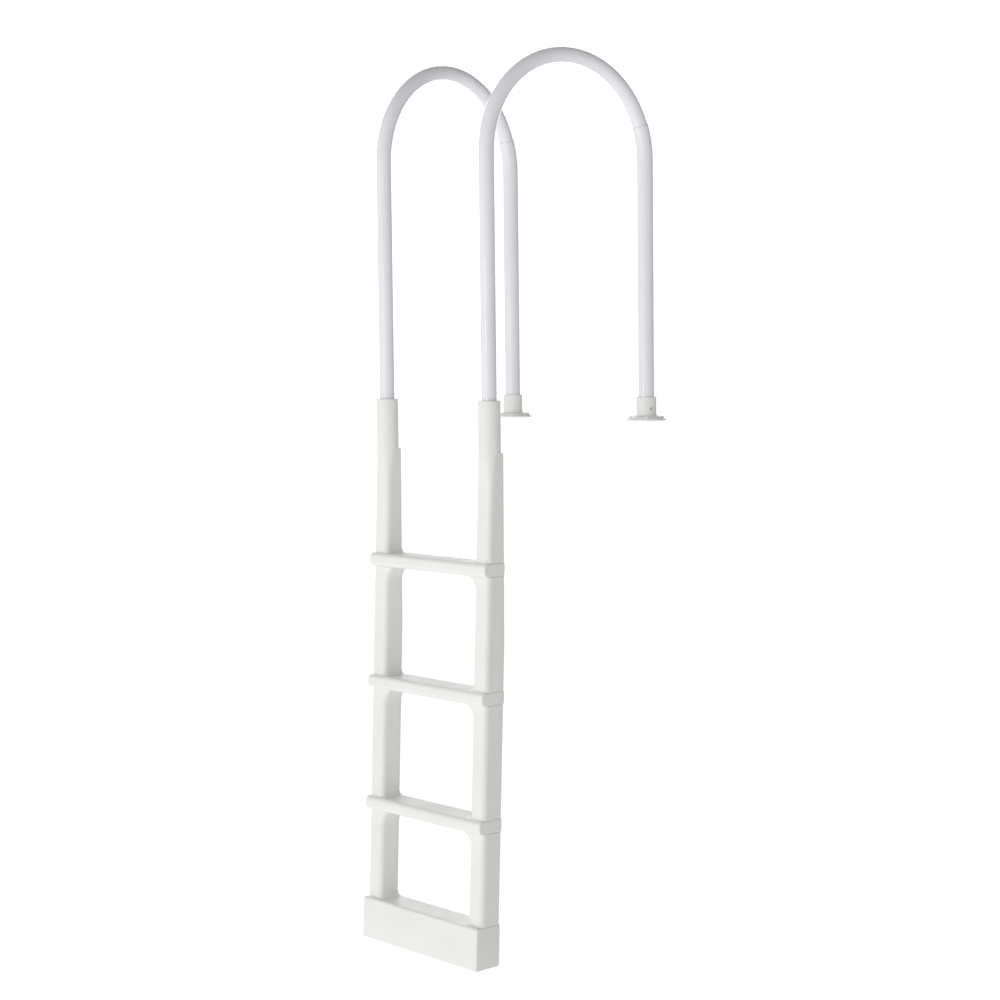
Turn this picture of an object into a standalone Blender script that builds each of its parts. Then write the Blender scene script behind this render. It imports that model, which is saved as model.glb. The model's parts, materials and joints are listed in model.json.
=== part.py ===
"""Pool ladder: two bent tube handrails that stand on a deck and carry a hollow plastic ladder in the water.

Frame: the origin is midway between the two deck flanges, on the deck surface. +Z is up, -Y points out over
the water, and +X is to the right of a climber who faces the deck. Metres.
"""

import math

import bmesh
import bpy
from mathutils import Matrix, Vector

# Layout
HANDRAIL_TOP = 0.922  # deck surface up to the top of the handrail bend
REACH = 0.489  # deck flanges out to the handrails' front legs
FRONT_HALF_SPACING = 0.193  # middle of the ladder to each front leg and rail
REAR_HALF_SPACING = 0.250  # middle of the ladder to each rear leg
FIRST_TREAD_DROP = 0.330  # deck surface down to the first tread
TREAD_PITCH = 0.3125  # one tread's top to the next
LAST_RISE = 0.261  # last tread's top down to the base step's top
TREAD_COUNT = 3

# Clearances
SEAT_GAP = 0.0003  # between two faces that rest on each other
BORE_GAP = 0.0005  # around a tube in a moulded bore
TELESCOPE_GAP = 0.0004  # around the handrail tube inside the rear leg tube
SPIGOT_GAP = 0.0004  # around a rail's spigot in its pocket
SCREW_GAP = 0.0003  # around a screw's shank in its hole
CUT_PAST = 0.004  # a cutter's run past the face that it opens

# Handrail tubes
TUBE_RADIUS = 0.01905
TUBE_WALL = 0.0016
LEG_TUBE_WALL = 0.0012
JOINT_ANGLE = math.radians(20.5)  # from the rear spring line up the bend to the rear leg tube's end
JOINT_OVERLAP = 0.045  # length of handrail tube inside the rear leg tube
BEND_STEPS = 16

# Deck flanges
FLANGE_BRIM = 0.02465  # collar's side out to the flange's edge
FLANGE_STEP = 0.0075  # width of the thin edge around the slope
FLANGE_RIM = 0.0045
FLANGE_SLOPE_TOP = 0.0135  # height where the flange's slope meets its collar
FLANGE_FLOOR = 0.004
COLLAR_HEIGHT = 0.060
COLLAR_WALL = 0.0042
DECK_HOLE_RADIUS = 0.0028
DECK_HOLE_OFFSET = 0.01215  # collar's side out to the holes' centres
DECK_HOLE_COUNT = 4
BOSS_RADIUS = 0.0068
BOSS_TOP = 0.0105

# Round sockets at the top of the uprights
SOCKET_TOP = 0.062  # above the deck surface
SOCKET_WALL = 0.0077
SOCKET_LENGTH = 0.126  # round stretch, down to the rear shoulder
SOCKET_BLEND = 0.080  # height over which the round socket turns into the rail
SOCKET_CHAMFER = 0.0015
TUBE_INSERTION = 0.130  # length of handrail tube inside the socket as set here
RAISE_TRAVEL = 0.1016  # the ladder can be raised this far from this setting
STOP_CLEARANCE = 0.003  # left under the tube when the ladder is fully raised
STOP_RADIUS = 0.014
STOP_LEDGE = 0.004  # thickness of the stop under the tube
FUNNEL_LENGTH = 0.020

# Side rails
RAIL_LEAD = 0.0007  # rail's face ahead of the bore at the socket's shoulder
LEAN = 0.042  # the rails lean back this much for each metre of height
RAIL_SIDE_WALL = 0.0055  # rail's sides outside the bore
RAIL_END_INSET = 0.0005  # rail's outer face inside the treads' ends
RAIL_REAR_WALL = 0.0052  # behind the bore at the socket's shoulder
RAIL_DEPTH = 0.061
RAIL_REAR_INSET = 0.0005  # rail's rear face inside the treads' rear
RAIL_TAPER_LENGTH = 0.455  # from the rear shoulder down to the full depth
RAIL_CORNER = 0.010
RAIL_REAR_CORNER = 0.006
RAIL_WALL = 0.004
GUSSET_RADIUS = 0.038  # under each tread
FOOT_FILLET = 0.013  # above each tread
SPIGOT_INSET = 0.006
SPIGOT_LENGTH = 0.0125
SPIGOT_WALL = 0.003
SPIGOT_BORE_CORNER = 0.001

# Treads and base step
TREAD_HEIGHT = 0.033
TREAD_WALL = 0.004
NOSE_TOP_RADIUS = 0.010
NOSE_RADIUS = 0.012
LIP_HEIGHT = 0.0012
LIP_FLAT = 0.0007  # behind the nose's round
LIP_RAMP = 0.0008  # from the lip's edge down to the tread
LIP_CLEARANCE = 0.0005  # from the lip's foot to the rail's face
REAR_CORNER = 0.004
BASE_HEIGHT = 0.104
BASE_FORWARD = 0.002  # base step's front ahead of the nosing line
BASE_BACK = 0.002  # base step's rear behind the rails' full depth
BASE_WALL = 0.005
BASE_CORNER = 0.006
END_BEVEL = 0.003

# Fasteners and plugs
TREAD_SCREW_RADIUS = 0.0020
TREAD_SCREW_HEAD = 0.0045
TREAD_SCREW_HEAD_HEIGHT = 0.0028
TREAD_SCREW_PAST = 0.002  # length past the spigot's wall
HEIGHT_SCREW_RADIUS = 0.0030
HEIGHT_SCREW_HEAD = 0.0065
HEIGHT_SCREW_HEAD_HEIGHT = 0.0045
HEIGHT_SCREW_DROP = 0.032  # socket's top down to its clamp screw
FLANGE_SCREW_RADIUS = 0.0024
FLANGE_SCREW_HEAD = 0.0036
FLANGE_SCREW_HEAD_HEIGHT = 0.0022
FLANGE_SCREW_HEIGHT = 0.030
FLANGE_SCREW_AZIMUTH = math.radians(-20)  # from the outer side towards the water
JOINT_SCREW_RADIUS = 0.0016
JOINT_SCREW_HEAD = 0.0036
JOINT_SCREW_HEAD_HEIGHT = 0.0024
JOINT_SCREW_LENGTH = 0.0065
TUBE_PLUG_SHANK = 0.016
TUBE_PLUG_HEAD = 0.003
FILL_HOLE_RADIUS = 0.017
FILL_HOLE_DROP = 0.034  # base step's top down to the fill hole's centre
FILL_PLUG_BRIM = 0.005  # hole's edge out to the plug head's edge
FILL_PLUG_HEAD = 0.007
FILL_PLUG_SHANK = 0.012
FILL_SLOT_WIDTH = 0.0035
FILL_SLOT_DEPTH = 0.0025
FILL_SLOT_MARGIN = 0.006  # from the slot's end to the plug's edge
GASKET_THICKNESS = 0.0015

ROUND_STEPS = 20
SCREW_STEPS = 8
RAIL_CORNER_POINTS = 3
UPRIGHT_CORNER_POINTS = 6
TUBE_SIDES = 16
DRILL_SIDES = 12
DRILL_TURN = math.radians(7)  # keeps a drill's corners off the edges that it crosses

SIDES = {"left": -1, "right": 1}

# Sizes that follow from the ones above
LEG_TUBE_BORE = TUBE_RADIUS + TELESCOPE_GAP
LEG_TUBE_RADIUS = LEG_TUBE_BORE + LEG_TUBE_WALL
COLLAR_BORE = LEG_TUBE_RADIUS + BORE_GAP
COLLAR_RADIUS = COLLAR_BORE + COLLAR_WALL
FLANGE_RADIUS = COLLAR_RADIUS + FLANGE_BRIM
SOCKET_BORE = TUBE_RADIUS + BORE_GAP
SOCKET_RADIUS = SOCKET_BORE + SOCKET_WALL
SHOULDER_Z = SOCKET_TOP - SOCKET_LENGTH
TUBE_END_Z = SOCKET_TOP - TUBE_INSERTION
STOP_Z = TUBE_END_Z - SEAT_GAP - TUBE_PLUG_HEAD - RAISE_TRAVEL - STOP_CLEARANCE
TREAD_TOPS = [-FIRST_TREAD_DROP - TREAD_PITCH * index for index in range(TREAD_COUNT)]
BASE_TOP = TREAD_TOPS[-1] - LAST_RISE
POOL_FLOOR = BASE_TOP - BASE_HEIGHT
LIP_DEPTH = NOSE_TOP_RADIUS + LIP_FLAT
RAIL_SETBACK = LIP_DEPTH + LIP_RAMP + LIP_CLEARANCE  # rail's face behind the nosing line
RAIL_OUTER = FRONT_HALF_SPACING + SOCKET_BORE + RAIL_SIDE_WALL
RAIL_INNER = FRONT_HALF_SPACING - SOCKET_BORE - RAIL_SIDE_WALL
RAIL_DEPTH_TOP = RAIL_LEAD + 2 * SOCKET_BORE + RAIL_REAR_WALL
RAIL_CORNERS = (RAIL_REAR_CORNER, RAIL_CORNER)
DUCT_CORNERS = (RAIL_REAR_CORNER - RAIL_WALL, RAIL_CORNER - RAIL_WALL)
SPIGOT_CORNER = SPIGOT_WALL + SPIGOT_BORE_CORNER
LADDER_HALF_WIDTH = RAIL_OUTER + RAIL_END_INSET
NOSING_FORWARD = SOCKET_BORE + RAIL_LEAD + RAIL_SETBACK  # ahead of the front legs, at the shoulder
BASE_BEHIND = RAIL_SETBACK + RAIL_DEPTH + BASE_BACK  # base step's rear behind the nosing line
BASE_DEPTH = BASE_FORWARD + BASE_BEHIND
FILL_PLUG_HEAD_RADIUS = FILL_HOLE_RADIUS + FILL_PLUG_BRIM
REARWARD = Vector((0.0, 1.0, -LEAN)).normalized()  # square to the leaning rear faces


def clear_scene():
    for obj in list(bpy.data.objects):
        bpy.data.objects.remove(obj, do_unlink=True)


def new_collection(name):
    collection = bpy.data.collections.new(name)
    bpy.context.scene.collection.children.link(collection)
    return collection


clear_scene()
PARTS = new_collection("pool_ladder")
CUTTERS = new_collection("cutters")


def new_material(name, colour, roughness, metallic=0.0):
    material = bpy.data.materials.new(name)
    material.use_nodes = True
    shader = material.node_tree.nodes["Principled BSDF"]
    shader.inputs["Base Color"].default_value = (*colour, 1.0)
    shader.inputs["Roughness"].default_value = roughness
    shader.inputs["Metallic"].default_value = metallic
    return material


TUBE_PAINT = new_material("white_powder_coat", (0.86, 0.86, 0.88), 0.25)
MOULDED_WHITE = new_material("moulded_white_plastic", (0.84, 0.84, 0.82), 0.45)
STAINLESS = new_material("stainless_steel", (0.62, 0.62, 0.63), 0.3, metallic=1.0)
BLACK_RUBBER = new_material("black_rubber", (0.03, 0.03, 0.03), 0.8)
GREY_PLASTIC = new_material("grey_plastic", (0.55, 0.55, 0.55), 0.5)


# Shapes


def add_object(name, mesh, material=None, matrix=None):
    """A part when it has a material, or else a cutter."""
    obj = bpy.data.objects.new(name, mesh)
    obj.matrix_world = matrix or Matrix()
    if material:
        mesh.materials.append(material)
        PARTS.objects.link(obj)
    else:
        obj.hide_render = True
        obj.display_type = "WIRE"
        CUTTERS.objects.link(obj)
    return obj


def mesh_from(work, name):
    """The mesh that a filled bmesh makes, closed, facing out and shaded smooth where it is round."""
    bmesh.ops.remove_doubles(work, verts=work.verts, dist=1e-6)
    bmesh.ops.recalc_face_normals(work, faces=work.faces)
    mesh = bpy.data.meshes.new(name)
    work.to_mesh(mesh)
    work.free()
    mesh.shade_smooth()
    mesh.set_sharp_from_angle(angle=math.radians(35))
    return mesh


def loft(name, rings, hollow=False):
    """Skins each ring to the next. A hollow loft's last ring meets its first, and a solid one is capped."""
    work = bmesh.new()
    rows = [[work.verts.new(point) for point in ring] for ring in rings]
    count = len(rows[0])
    pairs = list(zip(rows, rows[1:]))
    if hollow:
        pairs.append((rows[-1], rows[0]))
    for above, below in pairs:
        for index in range(count):
            after = (index + 1) % count
            work.faces.new((above[index], below[index], below[after], above[after]))
    if not hollow:
        work.faces.new(rows[0])
        work.faces.new(rows[-1])
    return mesh_from(work, name)


def box_ring(x_span, y_span, corners, z, corner_points):
    """A rectangle with round corners, counterclockwise from its +X side. corners are the +Y and -Y radii."""
    ring = []
    for quarter in range(4):
        corner = corners[quarter // 2]
        x = x_span[1] - corner if quarter in (0, 3) else x_span[0] + corner
        y = y_span[1] - corner if quarter in (0, 1) else y_span[0] + corner
        for step in range(corner_points):
            angle = math.radians(90) * (quarter + step / (corner_points - 1))
            ring.append(Vector((x + corner * math.cos(angle), y + corner * math.sin(angle), z)))
    return ring


def circle_ring(x, y, radius, z, corner_points):
    """A circle whose points pair up with those of a box_ring."""
    ring = []
    for quarter in range(4):
        for step in range(corner_points):
            share = (step - (corner_points - 1) / 2) / corner_points
            angle = math.radians(90) * (quarter + 0.5 + share)
            ring.append(Vector((x + radius * math.cos(angle), y + radius * math.sin(angle), z)))
    return ring


def mirrored(rings, side):
    return [[Vector((side * point.x, point.y, point.z)) for point in ring] for ring in rings]


def curve_mesh(curve, name):
    """The mesh of a curve, with its loose caps welded."""
    source = bpy.data.objects.new(name, curve)
    bpy.context.scene.collection.objects.link(source)
    graph = bpy.context.evaluated_depsgraph_get()
    mesh = bpy.data.meshes.new_from_object(source.evaluated_get(graph))
    bpy.data.objects.remove(source, do_unlink=True)
    work = bmesh.new()
    work.from_mesh(mesh)
    bpy.data.meshes.remove(mesh)
    return mesh_from(work, name)


def tube_solid(name, points, radius):
    """A solid round bar along a list of points."""
    curve = bpy.data.curves.new(name, "CURVE")
    curve.dimensions = "3D"
    curve.bevel_depth = radius
    curve.bevel_resolution = TUBE_SIDES // 2 - 2
    curve.use_fill_caps = True
    spline = curve.splines.new("POLY")
    spline.points.add(len(points) - 1)
    for point, place in zip(spline.points, points):
        point.co = (*place, 1.0)
    return curve_mesh(curve, name)


def extruded(name, outline, half_length):
    """A flat outline of (y, z) points, run along X for half_length each way from the middle."""
    curve = bpy.data.curves.new(name, "CURVE")
    curve.dimensions = "2D"
    curve.fill_mode = "BOTH"
    curve.extrude = half_length
    spline = curve.splines.new("POLY")
    spline.points.add(len(outline) - 1)
    spline.use_cyclic_u = True
    for point, (y, z) in zip(spline.points, outline):
        point.co = (y, z, 0.0, 1.0)
    return curve_mesh(curve, name)


ALONG_X = Matrix.Rotation(math.radians(90), 4, "Z") @ Matrix.Rotation(math.radians(90), 4, "X")


def arc(centre, radius, start, end, steps):
    """Points on an arc in a flat outline, from start to end degrees."""
    angles = [math.radians(start + (end - start) * step / steps) for step in range(steps + 1)]
    return [(centre[0] + radius * math.cos(a), centre[1] + radius * math.sin(a)) for a in angles]


def turned(name, profile, material, matrix, steps=ROUND_STEPS):
    """A profile of (radius, height) points, top to bottom down its outer side, turned about local Z."""
    mesh = bpy.data.meshes.new(name)
    points = [(radius, 0.0, height) for radius, height in profile]
    edges = [(index, index + 1) for index in range(len(points) - 1)]
    if profile[0][0] > 0:
        edges.append((len(points) - 1, 0))
    mesh.from_pydata(points, edges, [])
    obj = add_object(name, mesh, material, matrix)
    screw = obj.modifiers.new("turn", "SCREW")
    screw.axis = "Z"
    screw.angle = math.radians(360)
    screw.steps = steps
    screw.render_steps = steps
    screw.use_merge_vertices = True
    screw.merge_threshold = 1e-5
    screw.use_smooth_shade = True
    return obj


def facing(place, direction):
    """A matrix at place whose local Z runs along direction."""
    return Matrix.Translation(place) @ Vector(direction).to_track_quat("Z", "Y").to_matrix().to_4x4()


def rod_cutter(name, place, direction, radius, low, high, steps=DRILL_SIDES):
    """A round cutter along direction, from low to high metres past place, turned a little off the axes."""
    profile = [(0.0, high), (radius, high), (radius, low), (0.0, low)]
    matrix = facing(place, direction) @ Matrix.Rotation(DRILL_TURN, 4, "Z")
    return turned(name, profile, None, matrix, steps)


def combine(obj, other, operation="DIFFERENCE"):
    modifier = obj.modifiers.new(other.name, "BOOLEAN")
    modifier.operation = operation
    modifier.object = other
    modifier.solver = "EXACT"


def screw(name, place, direction, shank, head, length, head_height):
    """A pan-head screw with its head's underside a seat gap above place, and its shank running back."""
    profile = [
        (0.0, head_height),
        (head * 0.62, head_height * 0.86),
        (head, head_height * 0.35),
        (head, SEAT_GAP),
        (shank, SEAT_GAP),
        (shank, -length),
        (0.0, -length),
    ]
    return turned(name, profile, STAINLESS, facing(place, direction), steps=SCREW_STEPS)


# Handrails


class Handrail:
    """The line of one handrail: up the front leg, over a half-circle bend and down the rear leg."""

    def __init__(self, side):
        self.front = Vector((side * FRONT_HALF_SPACING, -REACH, 0.0))
        self.rear = Vector((side * REAR_HALF_SPACING, 0.0, 0.0))
        self.along = (self.rear - self.front).normalized()
        self.bend = (self.rear - self.front).length / 2
        self.spring_z = HANDRAIL_TOP - TUBE_RADIUS - self.bend
        self.centre = (self.front + self.rear) / 2 + Vector((0.0, 0.0, self.spring_z))

    def outward(self, angle):
        """The direction from the bend's centre, where 0 is towards the rear leg."""
        return math.cos(angle) * self.along + Vector((0.0, 0.0, math.sin(angle)))

    def bend_points(self, start, end, steps):
        angles = [start + (end - start) * step / steps for step in range(steps + 1)]
        return [self.centre + self.bend * self.outward(angle) for angle in angles]

    def overlap_points(self):
        """The stretch of bend where the handrail tube runs inside the rear leg tube."""
        return self.bend_points(JOINT_ANGLE, JOINT_ANGLE - JOINT_OVERLAP / self.bend, 2)

    def tube_line(self, extra=0.0):
        """The handrail tube, from its foot in the socket to its end inside the rear leg tube."""
        foot = self.front + Vector((0.0, 0.0, TUBE_END_Z - extra))
        bend = self.bend_points(math.pi, JOINT_ANGLE, BEND_STEPS)[:-1] + self.overlap_points()
        last = bend[-1] + (bend[-1] - bend[-2]).normalized() * extra
        return [foot, *bend, last] if extra else [foot, *bend]

    def leg_line(self, extra=0.0):
        """The rear leg tube, from its upper end down into the deck flange."""
        foot = self.rear + Vector((0.0, 0.0, FLANGE_FLOOR + SEAT_GAP - extra))
        bend = [*self.overlap_points(), *self.bend_points(JOINT_ANGLE, 0.0, 4)[-2:]]
        first = bend[0] + (bend[0] - bend[1]).normalized() * extra
        return [first, *bend, foot] if extra else [*bend, foot]


def build_tube(name, line, cutter_line, radius, wall):
    tube = add_object(name, tube_solid(name, line, radius), TUBE_PAINT)
    bore = add_object(f"{name}_bore", tube_solid(f"{name}_bore", cutter_line, radius - wall))
    combine(tube, bore)
    return tube


def build_tube_plug(side_name, rail):
    """The cap in the foot of the handrail tube."""
    bore = TUBE_RADIUS - TUBE_WALL - SEAT_GAP
    profile = [
        (0.0, TUBE_PLUG_SHANK),
        (bore - 0.0015, TUBE_PLUG_SHANK),
        (bore, TUBE_PLUG_SHANK - 0.002),
        (bore, -SEAT_GAP),
        (TUBE_RADIUS, -SEAT_GAP),
        (TUBE_RADIUS, -SEAT_GAP - TUBE_PLUG_HEAD),
        (0.0, -SEAT_GAP - TUBE_PLUG_HEAD),
    ]
    place = rail.front + Vector((0.0, 0.0, TUBE_END_Z))
    turned(f"{side_name}_tube_plug", profile, GREY_PLASTIC, Matrix.Translation(place), TUBE_SIDES)


def build_handrail(side_name, side):
    rail = Handrail(side)
    lines = rail.tube_line(), rail.tube_line(CUT_PAST)
    tube = build_tube(f"{side_name}_handrail", *lines, TUBE_RADIUS, TUBE_WALL)
    lines = rail.leg_line(), rail.leg_line(CUT_PAST)
    leg = build_tube(f"{side_name}_rear_leg", *lines, LEG_TUBE_RADIUS, LEG_TUBE_WALL)
    build_tube_plug(side_name, rail)
    angle = JOINT_ANGLE - 0.4 * JOINT_OVERLAP / rail.bend
    outward = rail.outward(angle)
    seat = rail.centre + (rail.bend + LEG_TUBE_RADIUS) * outward
    name = f"{side_name}_joint_screw"
    sizes = JOINT_SCREW_RADIUS, JOINT_SCREW_HEAD, JOINT_SCREW_LENGTH, JOINT_SCREW_HEAD_HEIGHT
    screw(name, seat, outward, *sizes)
    hole = JOINT_SCREW_RADIUS + SCREW_GAP
    drill = rod_cutter(f"{name}_hole", seat, outward, hole, -JOINT_SCREW_LENGTH - CUT_PAST, CUT_PAST)
    combine(tube, drill)
    combine(leg, drill)


# Deck flanges


def build_flange(side_name, side):
    step = FLANGE_RADIUS - FLANGE_STEP
    profile = [
        (0.0, FLANGE_FLOOR),
        (COLLAR_BORE, FLANGE_FLOOR),
        (COLLAR_BORE, COLLAR_HEIGHT),
        (COLLAR_RADIUS - 0.001, COLLAR_HEIGHT),
        (COLLAR_RADIUS, COLLAR_HEIGHT - 0.001),
        (COLLAR_RADIUS, FLANGE_SLOPE_TOP + 0.002),
        (COLLAR_RADIUS + 0.003, FLANGE_SLOPE_TOP),
        (step, FLANGE_RIM + 0.0035),
        (step + 0.001, FLANGE_RIM + 0.0015),
        (FLANGE_RADIUS - 0.001, FLANGE_RIM),
        (FLANGE_RADIUS, FLANGE_RIM - 0.001),
        (FLANGE_RADIUS, 0.0),
        (0.0, 0.0),
    ]
    place = Vector((side * REAR_HALF_SPACING, 0.0, 0.0))
    name = f"{side_name}_deck_flange"
    flange = turned(name, profile, MOULDED_WHITE, Matrix.Translation(place))
    up = Vector((0.0, 0.0, 1.0))
    for index in range(DECK_HOLE_COUNT):
        angle = math.radians(360 * (index + 0.5) / DECK_HOLE_COUNT)
        circle = COLLAR_RADIUS + DECK_HOLE_OFFSET
        spot = place + circle * Vector((math.cos(angle), math.sin(angle), 0.0))
        boss = rod_cutter(f"{name}_boss_{index}", spot, up, BOSS_RADIUS, FLANGE_RIM / 2, BOSS_TOP)
        combine(flange, boss, "UNION")
        top = BOSS_TOP + CUT_PAST
        hole = rod_cutter(f"{name}_hole_{index}", spot, up, DECK_HOLE_RADIUS, -CUT_PAST, top)
        combine(flange, hole)
    out = Vector((side * math.cos(FLANGE_SCREW_AZIMUTH), math.sin(FLANGE_SCREW_AZIMUTH), 0.0))
    seat = place + out * COLLAR_RADIUS + Vector((0.0, 0.0, FLANGE_SCREW_HEIGHT))
    length = COLLAR_WALL + BORE_GAP - SEAT_GAP
    sizes = FLANGE_SCREW_RADIUS, FLANGE_SCREW_HEAD, length, FLANGE_SCREW_HEAD_HEIGHT
    screw(f"{side_name}_flange_screw", seat, out, *sizes)
    radius = FLANGE_SCREW_RADIUS + SCREW_GAP
    low = -COLLAR_WALL - CUT_PAST
    drill = rod_cutter(f"{side_name}_flange_screw_hole", seat, out, radius, low, CUT_PAST)
    combine(flange, drill)


# Side rails


def nosing_y(z):
    """The line through the fronts of the treads."""
    return -REACH - NOSING_FORWARD + LEAN * (z - SHOULDER_Z)


def rail_depth(z):
    share = min(1.0, max(0.0, (SHOULDER_Z - z) / RAIL_TAPER_LENGTH))
    return RAIL_DEPTH_TOP + share * (RAIL_DEPTH - RAIL_DEPTH_TOP)


def tread_depth(z):
    """A tread's front to rear, which follows the rails' taper."""
    return RAIL_SETBACK + rail_depth(z) + RAIL_REAR_INSET


def rail_y_span(z, inset=0.0):
    front = nosing_y(z) + RAIL_SETBACK
    return front + inset, front + rail_depth(z) - inset


def rail_ring(z, inset=0.0, inward=0.0, corners=RAIL_CORNERS, corner_points=RAIL_CORNER_POINTS, depth_z=None):
    """The rail's outline at height z, drawn in by inset and run inward at its inner side."""
    x_span = (RAIL_INNER + inset - inward, RAIL_OUTER - inset)
    return box_ring(x_span, rail_y_span(z if depth_z is None else depth_z, inset), corners, z, corner_points)


def fillet_rings(z, direction, radius, steps, corner_points):
    """Rings of a fillet that runs from a tread's face at z along the rail's inner side."""
    rings = []
    for step in range(steps + 1):
        angle = math.radians(90) * step / steps
        height = z + direction * radius * (1 - math.cos(angle))
        inward = radius * (1 - math.sin(angle))
        rings.append(rail_ring(height, inward=inward, corner_points=corner_points))
    return rings


def spigot_ring(z, seat_z, inset=0.0, corner_points=RAIL_CORNER_POINTS):
    """The spigot keeps the place of the rail's end at seat_z."""
    corners = (SPIGOT_CORNER - inset,) * 2
    return rail_ring(z, SPIGOT_INSET + inset, 0.0, corners, corner_points, depth_z=seat_z)


def upper_spigot(seat_z):
    """Outside of the spigot that stands up from a rail's top, from its end down."""
    return [spigot_ring(seat_z + SPIGOT_LENGTH, seat_z), spigot_ring(seat_z, seat_z)]


def build_rail(side_name, side, index):
    """The rail between one tread and the next, or the base step."""
    top = TREAD_TOPS[index] - TREAD_HEIGHT - SEAT_GAP
    last = index == TREAD_COUNT - 1
    bottom = (BASE_TOP if last else TREAD_TOPS[index + 1]) + SEAT_GAP
    points = RAIL_CORNER_POINTS
    outer = upper_spigot(top)
    outer += fillet_rings(top, -1, GUSSET_RADIUS, 4, points)
    outer += reversed(fillet_rings(bottom, 1, FOOT_FILLET, 2, points))
    outer += reversed([spigot_ring(bottom - SPIGOT_LENGTH, bottom), spigot_ring(bottom, bottom)])
    duct = [
        spigot_ring(bottom - SPIGOT_LENGTH, bottom, SPIGOT_WALL),
        spigot_ring(bottom + RAIL_WALL, bottom, SPIGOT_WALL),
        rail_ring(bottom + RAIL_WALL, RAIL_WALL, corners=DUCT_CORNERS),
        rail_ring(top - RAIL_WALL, RAIL_WALL, corners=DUCT_CORNERS),
        spigot_ring(top - RAIL_WALL, top, SPIGOT_WALL),
        spigot_ring(top + SPIGOT_LENGTH, top, SPIGOT_WALL),
    ]
    name = f"{side_name}_rail_{index + 1}"
    return add_object(name, loft(name, mirrored(outer + duct, side), hollow=True), MOULDED_WHITE)


def socket_blend_rings():
    """From the round socket to the rail. The rear corners start at the shoulder, the front ones ease in."""
    points = UPRIGHT_CORNER_POINTS
    rings = []
    for share in (0.0, 0.33, 0.67, 1.0):
        z = SHOULDER_Z - SOCKET_CHAMFER - share * (SOCKET_BLEND - SOCKET_CHAMFER)
        circle = circle_ring(FRONT_HALF_SPACING, -REACH, SOCKET_RADIUS, z, points)
        box = rail_ring(z, corner_points=points)
        ease = share * share * (3 - 2 * share)
        rings.append(
            [
                round_point.lerp(box_point, 1.0 if place < 2 * points else ease)
                for place, (round_point, box_point) in enumerate(zip(circle, box))
            ]
        )
    return rings


def build_upright(side_name, side):
    """The round socket for the handrail's front leg and the rail below it, in one moulding."""
    points = UPRIGHT_CORNER_POINTS
    middle = (FRONT_HALF_SPACING, -REACH)
    bottom = TREAD_TOPS[0] + SEAT_GAP
    funnel_z = STOP_Z - STOP_LEDGE
    outer = [
        circle_ring(*middle, SOCKET_RADIUS - SOCKET_CHAMFER, SOCKET_TOP, points),
        circle_ring(*middle, SOCKET_RADIUS, SOCKET_TOP - SOCKET_CHAMFER, points),
        circle_ring(*middle, SOCKET_RADIUS, SHOULDER_Z, points),
        *socket_blend_rings(),
        *reversed(fillet_rings(bottom, 1, FOOT_FILLET, 2, points)),
        spigot_ring(bottom, bottom, corner_points=points),
        spigot_ring(bottom - SPIGOT_LENGTH, bottom, corner_points=points),
    ]
    duct_z = funnel_z - FUNNEL_LENGTH
    bore = [
        spigot_ring(bottom - SPIGOT_LENGTH, bottom, SPIGOT_WALL, points),
        spigot_ring(bottom + RAIL_WALL, bottom, SPIGOT_WALL, points),
        rail_ring(bottom + RAIL_WALL, RAIL_WALL, corners=DUCT_CORNERS, corner_points=points),
        rail_ring(duct_z, RAIL_WALL, corners=DUCT_CORNERS, corner_points=points),
        circle_ring(*middle, STOP_RADIUS, funnel_z, points),
        circle_ring(*middle, STOP_RADIUS, STOP_Z, points),
        circle_ring(*middle, SOCKET_BORE, STOP_Z, points),
        circle_ring(*middle, SOCKET_BORE, SOCKET_TOP - SOCKET_CHAMFER, points),
        circle_ring(*middle, SOCKET_BORE + SOCKET_CHAMFER, SOCKET_TOP, points),
    ]
    name = f"{side_name}_upright"
    upright = add_object(name, loft(name, mirrored(outer + bore, side), hollow=True), MOULDED_WHITE)
    rearward = Vector((0.0, 1.0, 0.0))
    seat = Vector((side * middle[0], middle[1] + SOCKET_RADIUS, SOCKET_TOP - HEIGHT_SCREW_DROP))
    length = SOCKET_RADIUS - TUBE_RADIUS - SEAT_GAP
    screw_name = f"{side_name}_height_screw"
    sizes = HEIGHT_SCREW_RADIUS, HEIGHT_SCREW_HEAD, length, HEIGHT_SCREW_HEAD_HEIGHT
    screw(screw_name, seat, rearward, *sizes)
    radius = HEIGHT_SCREW_RADIUS + SCREW_GAP
    drill = rod_cutter(f"{screw_name}_hole", seat, rearward, radius, -length - CUT_PAST, CUT_PAST)
    combine(upright, drill)
    return upright


# Treads and base step


def tread_outline(front, depth):
    """D-shaped nose with a raised lip, flat top and round rear corners, with heights from the tread's top."""
    rear = front + depth
    upper_nose = arc((front + NOSE_TOP_RADIUS, LIP_HEIGHT - NOSE_TOP_RADIUS), NOSE_TOP_RADIUS, 180, 90, 4)
    lip = [(front + LIP_DEPTH, LIP_HEIGHT), (front + LIP_DEPTH + LIP_RAMP, 0.0)]
    rear_top = arc((rear - REAR_CORNER, -REAR_CORNER), REAR_CORNER, 90, 0, 2)
    rear_bottom = arc((rear - REAR_CORNER, REAR_CORNER - TREAD_HEIGHT), REAR_CORNER, 0, -90, 2)
    lower_nose = arc((front + NOSE_RADIUS, NOSE_RADIUS - TREAD_HEIGHT), NOSE_RADIUS, 270, 180, 4)
    return [*upper_nose, *lip, *rear_top, *rear_bottom, *lower_nose]


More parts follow.
